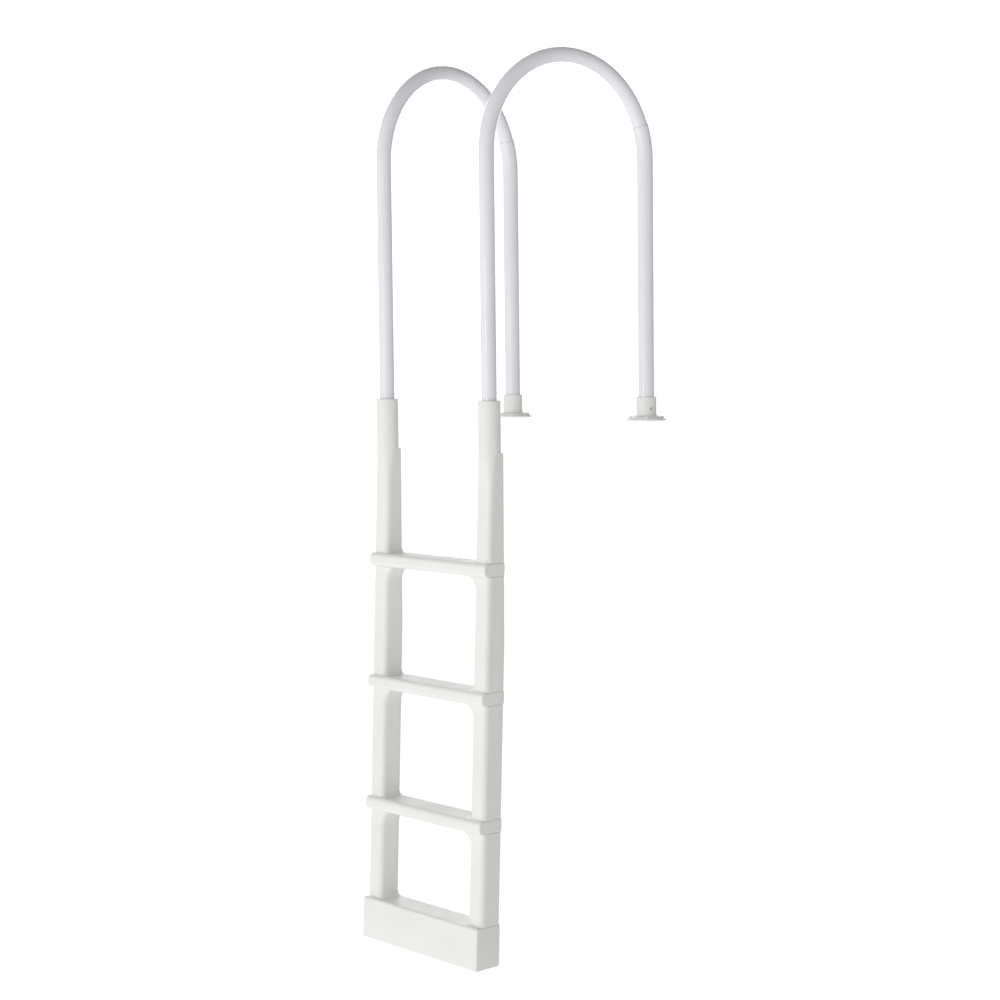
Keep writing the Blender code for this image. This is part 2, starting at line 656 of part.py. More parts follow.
def base_outline(front):
    rear = front + BASE_DEPTH
    corner = BASE_CORNER
    upper_nose = arc((front + corner, LIP_HEIGHT - corner), corner, 180, 90, 2)
    lip = [(front + LIP_DEPTH, LIP_HEIGHT), (front + LIP_DEPTH + LIP_RAMP, 0.0)]
    rear_top = arc((rear - corner, -corner), corner, 90, 0, 2)
    rear_bottom = arc((rear - corner, corner - BASE_HEIGHT), corner, 0, -90, 2)
    front_bottom = arc((front + corner, corner - BASE_HEIGHT), corner, 270, 180, 2)
    return [*upper_nose, *lip, *rear_top, *rear_bottom, *front_bottom]


def cavity_outline(front, depth, height, wall, corner):
    """The hollow inside a step, a wall inside its outline."""
    spans = ((front + wall, front + depth - wall), (wall - height, -wall))
    return [(point.x, point.y) for point in box_ring(*spans, (corner, corner), 0.0, 3)]


def leaning(outline):
    """An outline drawn below a step's top, leaned with the rails."""
    return [(y + LEAN * z, z) for y, z in outline]


def hollow_step(name, outline, cavity, wall, top):
    """A moulded shell as wide as the ladder, with its top at the given height."""
    matrix = Matrix.Translation((0.0, 0.0, top)) @ ALONG_X
    step = add_object(name, extruded(name, leaning(outline), LADDER_HALF_WIDTH), MOULDED_WHITE, matrix)
    bevel = step.modifiers.new("round ends", "BEVEL")
    bevel.width = END_BEVEL
    bevel.segments = 1
    bevel.limit_method = "ANGLE"
    bevel.angle_limit = math.radians(80)
    inside = extruded(f"{name}_inside", leaning(cavity), LADDER_HALF_WIDTH - wall)
    combine(step, add_object(f"{name}_inside", inside, None, matrix))
    return step


def cut_pocket(step, side_name, side, seat_z, direction, wall):
    """Opens the step's wall for a rail's spigot. direction is +1 for a rail above the step."""
    inset = SPIGOT_INSET - SPIGOT_GAP
    heights = (seat_z + direction * CUT_PAST, seat_z - direction * (wall + CUT_PAST))
    rings = [rail_ring(z, inset, corners=(SPIGOT_CORNER,) * 2, depth_z=seat_z) for z in heights]
    place = "upper" if direction > 0 else "lower"
    name = f"{step.name}_{side_name}_{place}_pocket"
    combine(step, add_object(name, loft(name, mirrored(rings, side))))


def lock_spigot(step, rail, label, side, seat_z, direction, behind):
    """The screw that holds a rail's spigot in a step, whose rear face is this far behind the nosing line."""
    height = seat_z - direction * 0.6 * SPIGOT_LENGTH
    seat = Vector((side * FRONT_HALF_SPACING, nosing_y(height) + behind, height))
    spigot_rear = rail_y_span(seat_z, SPIGOT_INSET)[1]
    length = seat.y - spigot_rear + SPIGOT_WALL + TREAD_SCREW_PAST
    sizes = TREAD_SCREW_RADIUS, TREAD_SCREW_HEAD, length, TREAD_SCREW_HEAD_HEIGHT
    screw(label, seat, REARWARD, *sizes)
    radius = TREAD_SCREW_RADIUS + SCREW_GAP
    drill = rod_cutter(f"{label}_hole", seat, REARWARD, radius, -length - SCREW_GAP, CUT_PAST)
    combine(step, drill)
    combine(rail, drill)


def build_fill_plug(matrix):
    """The threaded plug of the base step's fill hole, on the side of the pool wall, and its gasket."""
    under = 2 * SEAT_GAP + GASKET_THICKNESS
    top = under + FILL_PLUG_HEAD
    shank = FILL_HOLE_RADIUS - BORE_GAP
    profile = [
        (0.0, top),
        (FILL_PLUG_HEAD_RADIUS - 0.0015, top),
        (FILL_PLUG_HEAD_RADIUS, top - 0.0015),
        (FILL_PLUG_HEAD_RADIUS, under),
        (shank, under),
        (shank, -FILL_PLUG_SHANK),
        (0.0, -FILL_PLUG_SHANK),
    ]
    plug = turned("fill_plug", profile, MOULDED_WHITE, matrix)
    ring = [
        (FILL_HOLE_RADIUS, SEAT_GAP + GASKET_THICKNESS),
        (FILL_PLUG_HEAD_RADIUS - 0.001, SEAT_GAP + GASKET_THICKNESS),
        (FILL_PLUG_HEAD_RADIUS - 0.001, SEAT_GAP),
        (FILL_HOLE_RADIUS, SEAT_GAP),
    ]
    turned("fill_plug_gasket", ring, BLACK_RUBBER, matrix)
    half_length = FILL_PLUG_HEAD_RADIUS - FILL_SLOT_MARGIN
    half_width = FILL_SLOT_WIDTH / 2
    slot = ((-half_length, half_length), (-half_width, half_width), (0.0005, 0.0005))
    rings = [box_ring(*slot, height, 2) for height in (top + CUT_PAST, top - FILL_SLOT_DEPTH)]
    combine(plug, add_object("fill_plug_slot", loft("fill_plug_slot", rings), None, matrix))


def build_base():
    front = nosing_y(BASE_TOP) - BASE_FORWARD
    cavity = cavity_outline(front, BASE_DEPTH, BASE_HEIGHT, BASE_WALL, 0.004)
    base = hollow_step("base_step", base_outline(front), cavity, BASE_WALL, BASE_TOP)
    height = BASE_TOP - FILL_HOLE_DROP
    place = Vector((0.0, nosing_y(height) + BASE_BEHIND, height))
    build_fill_plug(facing(place, REARWARD))
    low = -BASE_WALL - CUT_PAST
    combine(base, rod_cutter("fill_hole", place, REARWARD, FILL_HOLE_RADIUS, low, CUT_PAST, ROUND_STEPS))
    return base


def build_tread(index):
    top = TREAD_TOPS[index]
    front = nosing_y(top)
    depth = tread_depth(top)
    cavity = cavity_outline(front, depth, TREAD_HEIGHT, TREAD_WALL, 0.003)
    name = f"tread_{index + 1}"
    return hollow_step(name, tread_outline(front, depth), cavity, TREAD_WALL, top)


def build_ladder():
    above = {name: build_upright(name, side) for name, side in SIDES.items()}
    for index in range(TREAD_COUNT):
        tread = build_tread(index)
        top = TREAD_TOPS[index]
        depth = tread_depth(top)
        for name, side in SIDES.items():
            upper = top + SEAT_GAP
            cut_pocket(tread, name, side, upper, 1, TREAD_WALL)
            label = f"{name}_tread_{index + 1}"
            lock_spigot(tread, above[name], f"{label}_upper_screw", side, upper, 1, depth)
            lower = top - TREAD_HEIGHT - SEAT_GAP
            rail = build_rail(name, side, index)
            cut_pocket(tread, name, side, lower, -1, TREAD_WALL)
            lock_spigot(tread, rail, f"{label}_lower_screw", side, lower, -1, depth)
            above[name] = rail
    base = build_base()
    for name, side in SIDES.items():
        seat_z = BASE_TOP + SEAT_GAP
        cut_pocket(base, name, side, seat_z, 1, BASE_WALL)
        lock_spigot(base, above[name], f"{name}_base_screw", side, seat_z, 1, BASE_BEHIND)


for SIDE_NAME, SIDE in SIDES.items():
    build_handrail(SIDE_NAME, SIDE)
    build_flange(SIDE_NAME, SIDE)
build_ladder()
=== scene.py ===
"""Pool ladder: the visual model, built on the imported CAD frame. Metres, in the CAD's own frame."""

import json
import math

import bmesh
import bpy
from mathutils import Matrix, Vector


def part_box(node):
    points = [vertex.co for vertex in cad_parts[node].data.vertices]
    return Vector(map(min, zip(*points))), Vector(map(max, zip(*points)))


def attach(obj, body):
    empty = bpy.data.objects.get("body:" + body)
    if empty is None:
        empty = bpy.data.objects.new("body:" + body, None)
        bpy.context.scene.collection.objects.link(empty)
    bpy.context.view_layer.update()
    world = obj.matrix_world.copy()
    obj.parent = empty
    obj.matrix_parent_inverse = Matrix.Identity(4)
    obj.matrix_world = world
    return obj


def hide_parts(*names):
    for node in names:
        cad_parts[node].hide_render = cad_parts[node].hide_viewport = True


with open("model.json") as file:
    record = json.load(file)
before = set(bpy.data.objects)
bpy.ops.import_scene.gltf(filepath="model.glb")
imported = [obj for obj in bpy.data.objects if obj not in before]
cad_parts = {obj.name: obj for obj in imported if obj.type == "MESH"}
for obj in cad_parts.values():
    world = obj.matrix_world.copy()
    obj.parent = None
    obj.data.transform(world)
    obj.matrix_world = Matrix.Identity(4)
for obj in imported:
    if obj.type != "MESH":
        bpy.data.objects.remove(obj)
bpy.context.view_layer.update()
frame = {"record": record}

SIDES = {"left": -1, "right": 1}
BODIES = {
    node: body
    for body, nodes in frame["record"]["behaviour"]["bodies"].items()
    for node in nodes
}

# Clearances and tube sizes, as in the CAD model
SEAT_GAP = 0.0003
BORE_GAP = 0.0005
TELESCOPE_GAP = 0.0004
TUBE_RADIUS = 0.01905
TUBE_WALL = 0.0016
LEG_TUBE_WALL = 0.0012
LEG_TUBE_RADIUS = TUBE_RADIUS + TELESCOPE_GAP + LEG_TUBE_WALL
JOINT_ANGLE = math.radians(20.5)
JOINT_OVERLAP = 0.045
TUBE_CAP_HEAD = 0.003
FLANGE_FLOOR = 0.004

# Each screw: its shank's radius, head's radius, head's height
JOINT_SCREW = (0.0016, 0.0036, 0.0024)
FLANGE_SCREW = (0.0024, 0.0036, 0.0022)
HEIGHT_SCREW = (0.0030, 0.0065, 0.0045)
TREAD_SCREW = (0.0020, 0.0045, 0.0028)
DRILL_GAP = 0.0003  # around a screw's shank in its hole

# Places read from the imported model
FOOT_LOW, FOOT_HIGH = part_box("right_tube_plug")
FLANGE_LOW, FLANGE_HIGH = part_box("right_deck_flange")
FRONT_X = (FOOT_LOW.x + FOOT_HIGH.x) / 2
FRONT_Y = (FOOT_LOW.y + FOOT_HIGH.y) / 2
REAR_X = (FLANGE_LOW.x + FLANGE_HIGH.x) / 2
REAR_Y = (FLANGE_LOW.y + FLANGE_HIGH.y) / 2
HANDRAIL_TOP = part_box("right_handrail")[1].z
TUBE_END_Z = FOOT_LOW.z + TUBE_CAP_HEAD + SEAT_GAP
SOCKET_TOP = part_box("right_upright")[1].z
LIP_HEIGHT = 0.0012
TREAD_TOPS = [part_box(f"tread_{index}")[1].z - LIP_HEIGHT for index in (1, 2, 3)]
BASE_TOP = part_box("base_step")[1].z - LIP_HEIGHT
POOL_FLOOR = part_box("base_step")[0].z
LOWEST_SETTING = 0.0508  # the ladder slides this far down from here
LADDER_HALF_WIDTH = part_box("tread_1")[1].x

# Sizes of the moulded ladder
SOCKET_BORE = TUBE_RADIUS + BORE_GAP
SOCKET_RADIUS = SOCKET_BORE + 0.0077
SHOULDER_Z = SOCKET_TOP - 0.126
SOCKET_BLEND = 0.080
RAISE_TRAVEL = 0.1016
STOP_CLEARANCE = 0.003  # left under the tube when the ladder is fully raised
STOP_Z = TUBE_END_Z - SEAT_GAP - TUBE_CAP_HEAD - RAISE_TRAVEL - STOP_CLEARANCE
STOP_RADIUS = 0.014
STOP_LEDGE = 0.004
FUNNEL_LENGTH = 0.020
SOCKET_RIM = 0.0016
HEIGHT_SCREW_DROP = 0.032  # socket's top down to its clamp screw
LEAN = 0.042
TREAD_HEIGHT = 0.033
RAIL_SETBACK = 0.012
RAIL_SIDE_WALL = 0.0055
RAIL_OUTER = FRONT_X + SOCKET_BORE + RAIL_SIDE_WALL
RAIL_INNER = FRONT_X - SOCKET_BORE - RAIL_SIDE_WALL
RAIL_LEAD = 0.0007  # rail's face ahead of the bore at the socket's shoulder
RAIL_DEPTH_TOP = RAIL_LEAD + 2 * SOCKET_BORE + 0.0052
RAIL_DEPTH = 0.061
RAIL_REAR_INSET = 0.0005
RAIL_TAPER_LENGTH = 0.455

# Radii of the corners at the rear and at the front
RAIL_CORNERS = (0.006, 0.013)
DUCT_CORNERS = (0.002, 0.006)
POCKET_CORNERS = (0.004, 0.004)

RAIL_WALL = 0.004
GUSSET_RADIUS = 0.038
FOOT_FILLET = 0.013
SPIGOT_INSET = 0.006
SPIGOT_LENGTH = 0.0125
SPIGOT_WALL = 0.003
SPIGOT_CORNER = SPIGOT_WALL + 0.001
SPIGOT_GAP = 0.0004
POCKET_DEPTH = 0.014
BASE_HEIGHT = BASE_TOP - POOL_FLOOR
BASE_FORWARD = 0.002
BASE_BEHIND = RAIL_SETBACK + RAIL_DEPTH + 0.002
BASE_DEPTH = BASE_FORWARD + BASE_BEHIND
BASE_WALL = 0.005
FILL_HOLE_DROP = 0.034  # base step's top down to the fill hole's centre
FILL_HOLE_RADIUS = 0.017
REARWARD = Vector((0.0, 1.0, -LEAN)).normalized()


# Mesh helpers


def finish_mesh(work, name, sharp_degrees=32):
    """The mesh of a bmesh, welded, facing out and shaded smooth between its sharp edges."""
    bmesh.ops.remove_doubles(work, verts=work.verts, dist=2e-6)
    bmesh.ops.recalc_face_normals(work, faces=work.faces)
    mesh = bpy.data.meshes.new(name)
    work.to_mesh(mesh)
    work.free()
    mesh.shade_smooth()
    mesh.set_sharp_from_angle(angle=math.radians(sharp_degrees))
    return mesh


def add_object(name, mesh, matrix=None):
    obj = bpy.data.objects.new(name, mesh)
    bpy.context.scene.collection.objects.link(obj)
    obj.matrix_world = matrix or Matrix()
    return obj


def loft(name, rings, hollow=False, sharp_degrees=32):
    """Skins each ring to the next. A hollow loft's last ring meets its first, and a solid one is capped."""
    work = bmesh.new()
    rows = [[work.verts.new(point) for point in ring] for ring in rings]
    count = len(rows[0])
    pairs = list(zip(rows, rows[1:]))
    if hollow:
        pairs.append((rows[-1], rows[0]))
    for above, below in pairs:
        for index in range(count):
            after = (index + 1) % count
            work.faces.new((above[index], below[index], below[after], above[after]))
    if not hollow:
        work.faces.new(rows[0])
        work.faces.new(rows[-1])
    return finish_mesh(work, name, sharp_degrees)


def soften(profile, steps=5):
    """An outline of (u, v, radius) corners with each corner rounded by its radius."""
    points = []
    for index, (u, v, radius) in enumerate(profile):
        here = Vector((u, v))
        before = Vector(profile[index - 1][:2])
        after = Vector(profile[(index + 1) % len(profile)][:2])
        if radius <= 0:
            points.append((u, v))
            continue
        to_before, to_after = (before - here).normalized(), (after - here).normalized()
        half = to_before.angle(to_after) / 2
        reach = radius / math.tan(half)
        bisector = (to_before + to_after).normalized()
        centre = here + bisector * (radius / math.sin(half))
        start, end = here + to_before * reach - centre, here + to_after * reach - centre
        turn = start.angle_signed(end)
        for step in range(steps + 1):
            angle = -turn * step / steps
            cos, sin = math.cos(angle), math.sin(angle)
            turned = Vector((start.x * cos - start.y * sin, start.x * sin + start.y * cos))
            points.append(tuple(centre + turned))
    return points


def lathe(name, profile, steps=96, open_axis=False, sharp_degrees=32):
    """A profile of (radius, height) points turned about Z. Without open_axis its end meets its start."""
    work = bmesh.new()
    rows = []
    for radius, height in profile:
        if radius < 1e-7:
            rows.append([work.verts.new((0.0, 0.0, height))])
            continue
        ring = []
        for step in range(steps):
            angle = 2 * math.pi * step / steps
            ring.append(work.verts.new((radius * math.cos(angle), radius * math.sin(angle), height)))
        rows.append(ring)
    pairs = list(zip(rows, rows[1:]))
    if not open_axis:
        pairs.append((rows[-1], rows[0]))
    for first, second in pairs:
        for step in range(steps):
            after = (step + 1) % steps
            corners = [first[step % len(first)], second[step % len(second)]]
            corners += [second[after % len(second)], first[after % len(first)]]
            unique = list(dict.fromkeys(corners))
            if len(unique) > 2:
                work.faces.new(unique)
    return finish_mesh(work, name, sharp_degrees)


def boolean(obj, cutter, operation="DIFFERENCE"):
    """Combines two closed objects at once and removes the second, so that no helper stays in the scene."""
    modifier = obj.modifiers.new("cut", "BOOLEAN")
    modifier.operation = operation
    modifier.object = cutter
    modifier.solver = "EXACT"
    graph = bpy.context.evaluated_depsgraph_get()
    mesh = bpy.data.meshes.new_from_object(obj.evaluated_get(graph))
    obj.modifiers.remove(modifier)
    obj.data = mesh
    mesh.shade_smooth()
    mesh.set_sharp_from_angle(angle=math.radians(32))
    bpy.data.objects.remove(cutter, do_unlink=True)


def facing(place, direction):
    """A matrix at place whose local Z runs along direction."""
    return Matrix.Translation(place) @ Vector(direction).to_track_quat("Z", "Y").to_matrix().to_4x4()


def drill(obj, radius, depth, matrix, out=0.004):
    """Bores a round hole of this depth, down the matrix's Z axis."""
    profile = [(0, out), (radius, out), (radius, -depth), (0, -depth)]
    boolean(obj, add_object("drill", lathe("drill", profile, 24, True), matrix))


# Materials


class Material:
    """A Principled material whose colour, roughness and bump vary with the place on the object."""

    def __init__(self, name, roughness, specular=0.5, metallic=0.0, coat=0.0, coat_roughness=0.05):
        self.material = bpy.data.materials.new(name)
        self.material.use_nodes = True
        self.nodes = self.material.node_tree.nodes
        self.links = self.material.node_tree.links
        self.shader = self.nodes["Principled BSDF"]
        self.shader.inputs["Roughness"].default_value = roughness
        self.shader.inputs["Metallic"].default_value = metallic
        self.shader.inputs["Specular IOR Level"].default_value = specular
        self.shader.inputs["Coat Weight"].default_value = coat
        self.shader.inputs["Coat Roughness"].default_value = coat_roughness
        self.place = self.nodes.new("ShaderNodeTexCoord").outputs["Object"]
        self.last_bump = None

    def stretched(self, scale):
        mapping = self.nodes.new("ShaderNodeMapping")
        mapping.inputs["Scale"].default_value = scale
        self.links.new(self.place, mapping.inputs["Vector"])
        return mapping.outputs["Vector"]

    def noise(self, scale, detail=2.0, stretch=None):
        texture = self.nodes.new("ShaderNodeTexNoise")
        texture.inputs["Scale"].default_value = scale
        texture.inputs["Detail"].default_value = detail
        self.links.new(self.stretched(stretch) if stretch else self.place, texture.inputs["Vector"])
        return texture.outputs["Fac"]

    def ramp(self, value, low, high, start=0.35, end=0.65):
        ramp = self.nodes.new("ShaderNodeValToRGB")
        ramp.color_ramp.elements[0].position = start
        ramp.color_ramp.elements[1].position = end
        ramp.color_ramp.elements[0].color = (*low, 1.0)
        ramp.color_ramp.elements[1].color = (*high, 1.0)
        self.links.new(value, ramp.inputs["Fac"])
        return ramp.outputs["Color"]

    def colour(self, value, low, high):
        self.links.new(self.ramp(value, low, high), self.shader.inputs["Base Color"])

    def roughness(self, value, low, high):
        span = self.nodes.new("ShaderNodeMapRange")
        span.inputs["From Min"].default_value = 0.3
        span.inputs["From Max"].default_value = 0.7
        span.inputs["To Min"].default_value = low
        span.inputs["To Max"].default_value = high
        self.links.new(value, span.inputs["Value"])
        self.links.new(span.outputs["Result"], self.shader.inputs["Roughness"])

    def bump(self, value, distance, strength=1.0):
        bump = self.nodes.new("ShaderNodeBump")
        bump.inputs["Strength"].default_value = strength
        bump.inputs["Distance"].default_value = distance
        self.links.new(value, bump.inputs["Height"])
        if self.last_bump:
            self.links.new(self.last_bump, bump.inputs["Normal"])
        self.last_bump = bump.outputs["Normal"]
        self.links.new(self.last_bump, self.shader.inputs["Normal"])


def moulded_plastic():
    """Off-white polyethylene: a satin skin, slightly uneven, with the fine grain of the mould."""
    made = Material("moulded_white_skin", 0.42, specular=0.45)
    made.colour(made.noise(9.0, 4.0), (0.845, 0.847, 0.828), (0.872, 0.872, 0.857))
    made.roughness(made.noise(35.0, 3.0), 0.36, 0.5)
    made.bump(made.noise(14.0, 2.0), 0.0009, 0.35)
    made.bump(made.noise(900.0, 2.0), 0.00006, 0.5)
    return made.material


def powder_coat():
    """Glossy white powder coat with a slight orange peel over drawn tube."""
    made = Material("white_powder_coat", 0.2, specular=0.5, coat=1.0, coat_roughness=0.05)
    made.colour(made.noise(5.0, 3.0), (0.835, 0.832, 0.872), (0.858, 0.855, 0.89))
    made.roughness(made.noise(60.0, 2.0), 0.16, 0.27)
    made.bump(made.noise(260.0, 2.0), 0.00009, 0.45)
    made.bump(made.noise(6.0, 1.0, (1.0, 1.0, 0.15)), 0.0006, 0.3)
    return made.material


def stainless():
    """Turned and stamped stainless steel."""
    made = Material("stainless_steel", 0.3, metallic=1.0)
    made.colour(made.noise(300.0, 3.0), (0.56, 0.56, 0.57), (0.68, 0.68, 0.69))
    made.roughness(made.noise(900.0, 2.0), 0.2, 0.38)
    made.bump(made.noise(2500.0, 2.0, (1.0, 1.0, 6.0)), 0.00002, 0.5)
    return made.material


def rubber():
    made = Material("black_rubber_seal", 0.8, specular=0.3)
    made.colour(made.noise(500.0, 3.0), (0.018, 0.018, 0.018), (0.035, 0.035, 0.036))
    made.roughness(made.noise(700.0, 2.0), 0.7, 0.88)
    made.bump(made.noise(1800.0, 2.0), 0.00004, 0.6)
    return made.material


def grey_plastic():
    made = Material("grey_plastic_cap", 0.5, specular=0.4)
    made.colour(made.noise(40.0, 3.0), (0.5, 0.5, 0.5), (0.56, 0.56, 0.565))
    made.roughness(made.noise(300.0, 2.0), 0.42, 0.58)
    made.bump(made.noise(1200.0, 2.0), 0.00005, 0.5)
    return made.material


FINISHES = {
    "moulded_white": moulded_plastic(),
    "tube_paint": powder_coat(),
    "stainless": stainless(),
    "black_rubber": rubber(),
    "grey_plastic": grey_plastic(),
}


def stand_for(piece, node, slot):
    """The piece is shown in place of a CAD node, on the same body and in the node's own finish."""
    piece.data.materials.clear()
    piece.data.materials.append(FINISHES[slot])
    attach(piece, BODIES[node])
    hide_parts(node)


# Handrails


class Handrail:
    """The line of one handrail: up the front leg, over a half-circle bend and down the rear leg."""

    def __init__(self, side):
        self.front = Vector((side * FRONT_X, FRONT_Y, 0.0))
        self.rear = Vector((side * REAR_X, REAR_Y, 0.0))
        self.along = (self.rear - self.front).normalized()
        self.bend = (self.rear - self.front).length / 2
        self.spring_z = HANDRAIL_TOP - TUBE_RADIUS - self.bend
        self.centre = (self.front + self.rear) / 2 + Vector((0.0, 0.0, self.spring_z))
        self.across = self.along.cross(Vector((0.0, 0.0, 1.0)))

    def outward(self, angle):
        """The direction from the bend's centre, where 0 is towards the rear leg."""
        return math.cos(angle) * self.along + Vector((0.0, 0.0, math.sin(angle)))

    def arc(self, start, end, steps):
        angles = [start + (end - start) * step / steps for step in range(steps + 1)]
        return [self.centre + self.bend * self.outward(angle) for angle in angles]

    def leg(self, foot, low, high, steps):
        return [foot + Vector((0.0, 0.0, low + (high - low) * step / steps)) for step in range(steps + 1)]


def swept_tube(name, line, across, outer, wall, lips, sides=48):
    """A tube with rounded rims along a line in one plane. lips are the radii of the first and last rim."""
    tangents = []
    for index in range(len(line)):
        ahead = line[min(index + 1, len(line) - 1)] - line[max(index - 1, 0)]
        tangents.append(ahead.normalized())

    def ring(centre, tangent, radius):
        other = tangent.cross(across)
        found = []
        for side in range(sides):
            angle = 2 * math.pi * side / sides
            found.append(centre + radius * (math.cos(angle) * across + math.sin(angle) * other))
        return found

    def rim(centre, tangent, lip, inward):
        """Rings round the tube's edge, from its outer wall in to its bore. inward points into the tube."""
        rings = []
        for step in range(5):
            angle = math.radians(90) * step / 4
            shift = inward * tangent * (lip - lip * math.sin(angle))
            rings.append(ring(centre + shift, tangent, outer - lip + lip * math.cos(angle)))
        for step in range(3):
            angle = math.radians(90) * step / 2
            edge = wall * 0.3
            shift = inward * tangent * (edge - edge * math.cos(angle))
            rings.append(ring(centre + shift, tangent, outer - wall + edge - edge * math.sin(angle)))
        return rings

    first = rim(line[0], tangents[0], lips[0], 1)
    last = rim(line[-1], tangents[-1], lips[1], -1)
    middle = list(zip(line[1:-1], tangents[1:-1]))
    outside = [ring(centre, tangent, outer) for centre, tangent in middle]
    inside = [ring(centre, tangent, outer - wall) for centre, tangent in reversed(middle)]
    return loft(name, [*reversed(first), *outside, *last, *inside], hollow=True)


def build_handrail(side_name, side):
    rail = Handrail(side)
    overlap_end = JOINT_ANGLE - JOINT_OVERLAP / rail.bend
    line = rail.leg(rail.front, TUBE_END_Z, rail.spring_z, 10)[:-1]
    line += rail.arc(math.pi, overlap_end, 96)
    name = f"{side_name}_handrail_tube"
    tube = add_object(name, swept_tube(name, line, rail.across, TUBE_RADIUS, TUBE_WALL, (0.0005, 0.0005)))

    line = rail.arc(JOINT_ANGLE, 0.0, 14)[:-1]
    line += list(reversed(rail.leg(rail.rear, FLANGE_FLOOR + SEAT_GAP, rail.spring_z, 8)))
    name = f"{side_name}_rear_leg_tube"
    lips = (0.0007, 0.0004)
    leg = add_object(name, swept_tube(name, line, rail.across, LEG_TUBE_RADIUS, LEG_TUBE_WALL, lips))

    angle = JOINT_ANGLE - 0.4 * JOINT_OVERLAP / rail.bend
    outward = rail.outward(angle)
    seat = rail.centre + (rail.bend + LEG_TUBE_RADIUS) * outward
    for piece in (tube, leg):
        drill(piece, JOINT_SCREW[0] + DRILL_GAP, 0.012, facing(seat, outward), 0.006)
    stand_for(tube, f"{side_name}_handrail", "tube_paint")
    stand_for(leg, f"{side_name}_rear_leg", "tube_paint")
    fixing = screw(f"{side_name}_joint_screw_head", JOINT_SCREW, 0.0065, facing(seat, outward))
    stand_for(fixing, f"{side_name}_joint_screw", "stainless")
    build_tube_cap(side_name, rail)


def build_tube_cap(side_name, rail):
    """The ribbed cap in the foot of the handrail tube."""
    bore = TUBE_RADIUS - TUBE_WALL - SEAT_GAP
    profile = soften(
        [
            (0, 0.016, 0),
            (bore - 0.0015, 0.016, 0.0012),
            (bore, 0.014, 0.0012),
            (bore, 0.0045, 0),
            (bore - 0.0006, 0.0040, 0),
            (bore - 0.0006, 0.0030, 0),
            (bore, 0.0025, 0),
            (bore, -SEAT_GAP, 0),
            (TUBE_RADIUS, -SEAT_GAP, 0.0004),
            (TUBE_RADIUS, -SEAT_GAP - TUBE_CAP_HEAD, 0.001),
            (0, -SEAT_GAP - TUBE_CAP_HEAD, 0),
        ],
        4,
    )
    foot = rail.front + Vector((0.0, 0.0, TUBE_END_Z))
    cap = add_object(f"{side_name}_tube_cap", lathe("cap", profile, 64, True), Matrix.Translation(foot))
    stand_for(cap, f"{side_name}_tube_plug", "grey_plastic")


# Screws


def screw(name, size, length, matrix):
    """A pan-head screw with a cross recess and a threaded shank."""
    shank, head, height = size
    edge = SEAT_GAP + 0.0004
    angles = [math.radians(90) * step / 10 for step in range(11)]
    dome = [(head * math.sin(a), edge + (height - edge) * math.cos(a)) for a in angles]
    dome[0] = (0.0, height)
    flat = [(head, SEAT_GAP + 0.0001), (head - 0.0002, SEAT_GAP), (shank, SEAT_GAP)]
    pitch = max(0.0006, shank * 0.45)
    turns = int((length - 0.0012) / pitch)
    thread = []
    for turn in range(turns):
        top = -0.0004 - turn * pitch
        thread += [(shank, top), (shank * 0.86, top - pitch * 0.5)]
    tip = [(shank, -0.0004 - turns * pitch), (shank * 0.8, -length), (0.0, -length)]
    obj = add_object(name, lathe(name, dome + flat + thread + tip, 32, True), matrix)
    arm, width, depth = head * 0.56, head * 0.15, height * 0.62
    for turn in (0, 1):
        top, bottom = height + 0.001, height - depth
        rings = []
        for z, share in ((top, 1.15), (height - depth * 0.35, 0.9), (bottom, 0.45)):
            half_long, half_wide = arm * share, width * (0.8 + 0.2 * share)
            corners = [(half_long * u, half_wide * v) for u, v in ((1, -1), (1, 1), (-1, 1), (-1, -1))]
            rings.append([Vector((y, -x, z)) if turn else Vector((x, y, z)) for x, y in corners])
        boolean(obj, add_object("recess", loft("recess", rings), matrix))
    return obj


# Deck flanges

FLANGE_STEP = 0.0075  # width of the thin edge around the slope
FLANGE_RIM = 0.0045
FLANGE_SLOPE_TOP = 0.0135
COLLAR_WALL = 0.0042
DECK_HOLE_OFFSET = 0.01215  # collar's side out to the holes' centres
FLANGE_SCREW_HEIGHT = 0.030
FLANGE_SCREW_AZIMUTH = math.radians(-20)  # from the outer side towards the water
BOSS_PROFILE = [(0, 0.0104, 0), (0.0066, 0.0104, 0.0012), (0.0072, 0.002, 0), (0, 0.002, 0)]
SINK_PROFILE = [
    (0, 0.014),
    (0.0062, 0.014),
    (0.0052, 0.0106),
    (0.0030, 0.0082),
    (0.0028, 0.0078),
    (0.0028, -0.004),
    (0, -0.004),
]


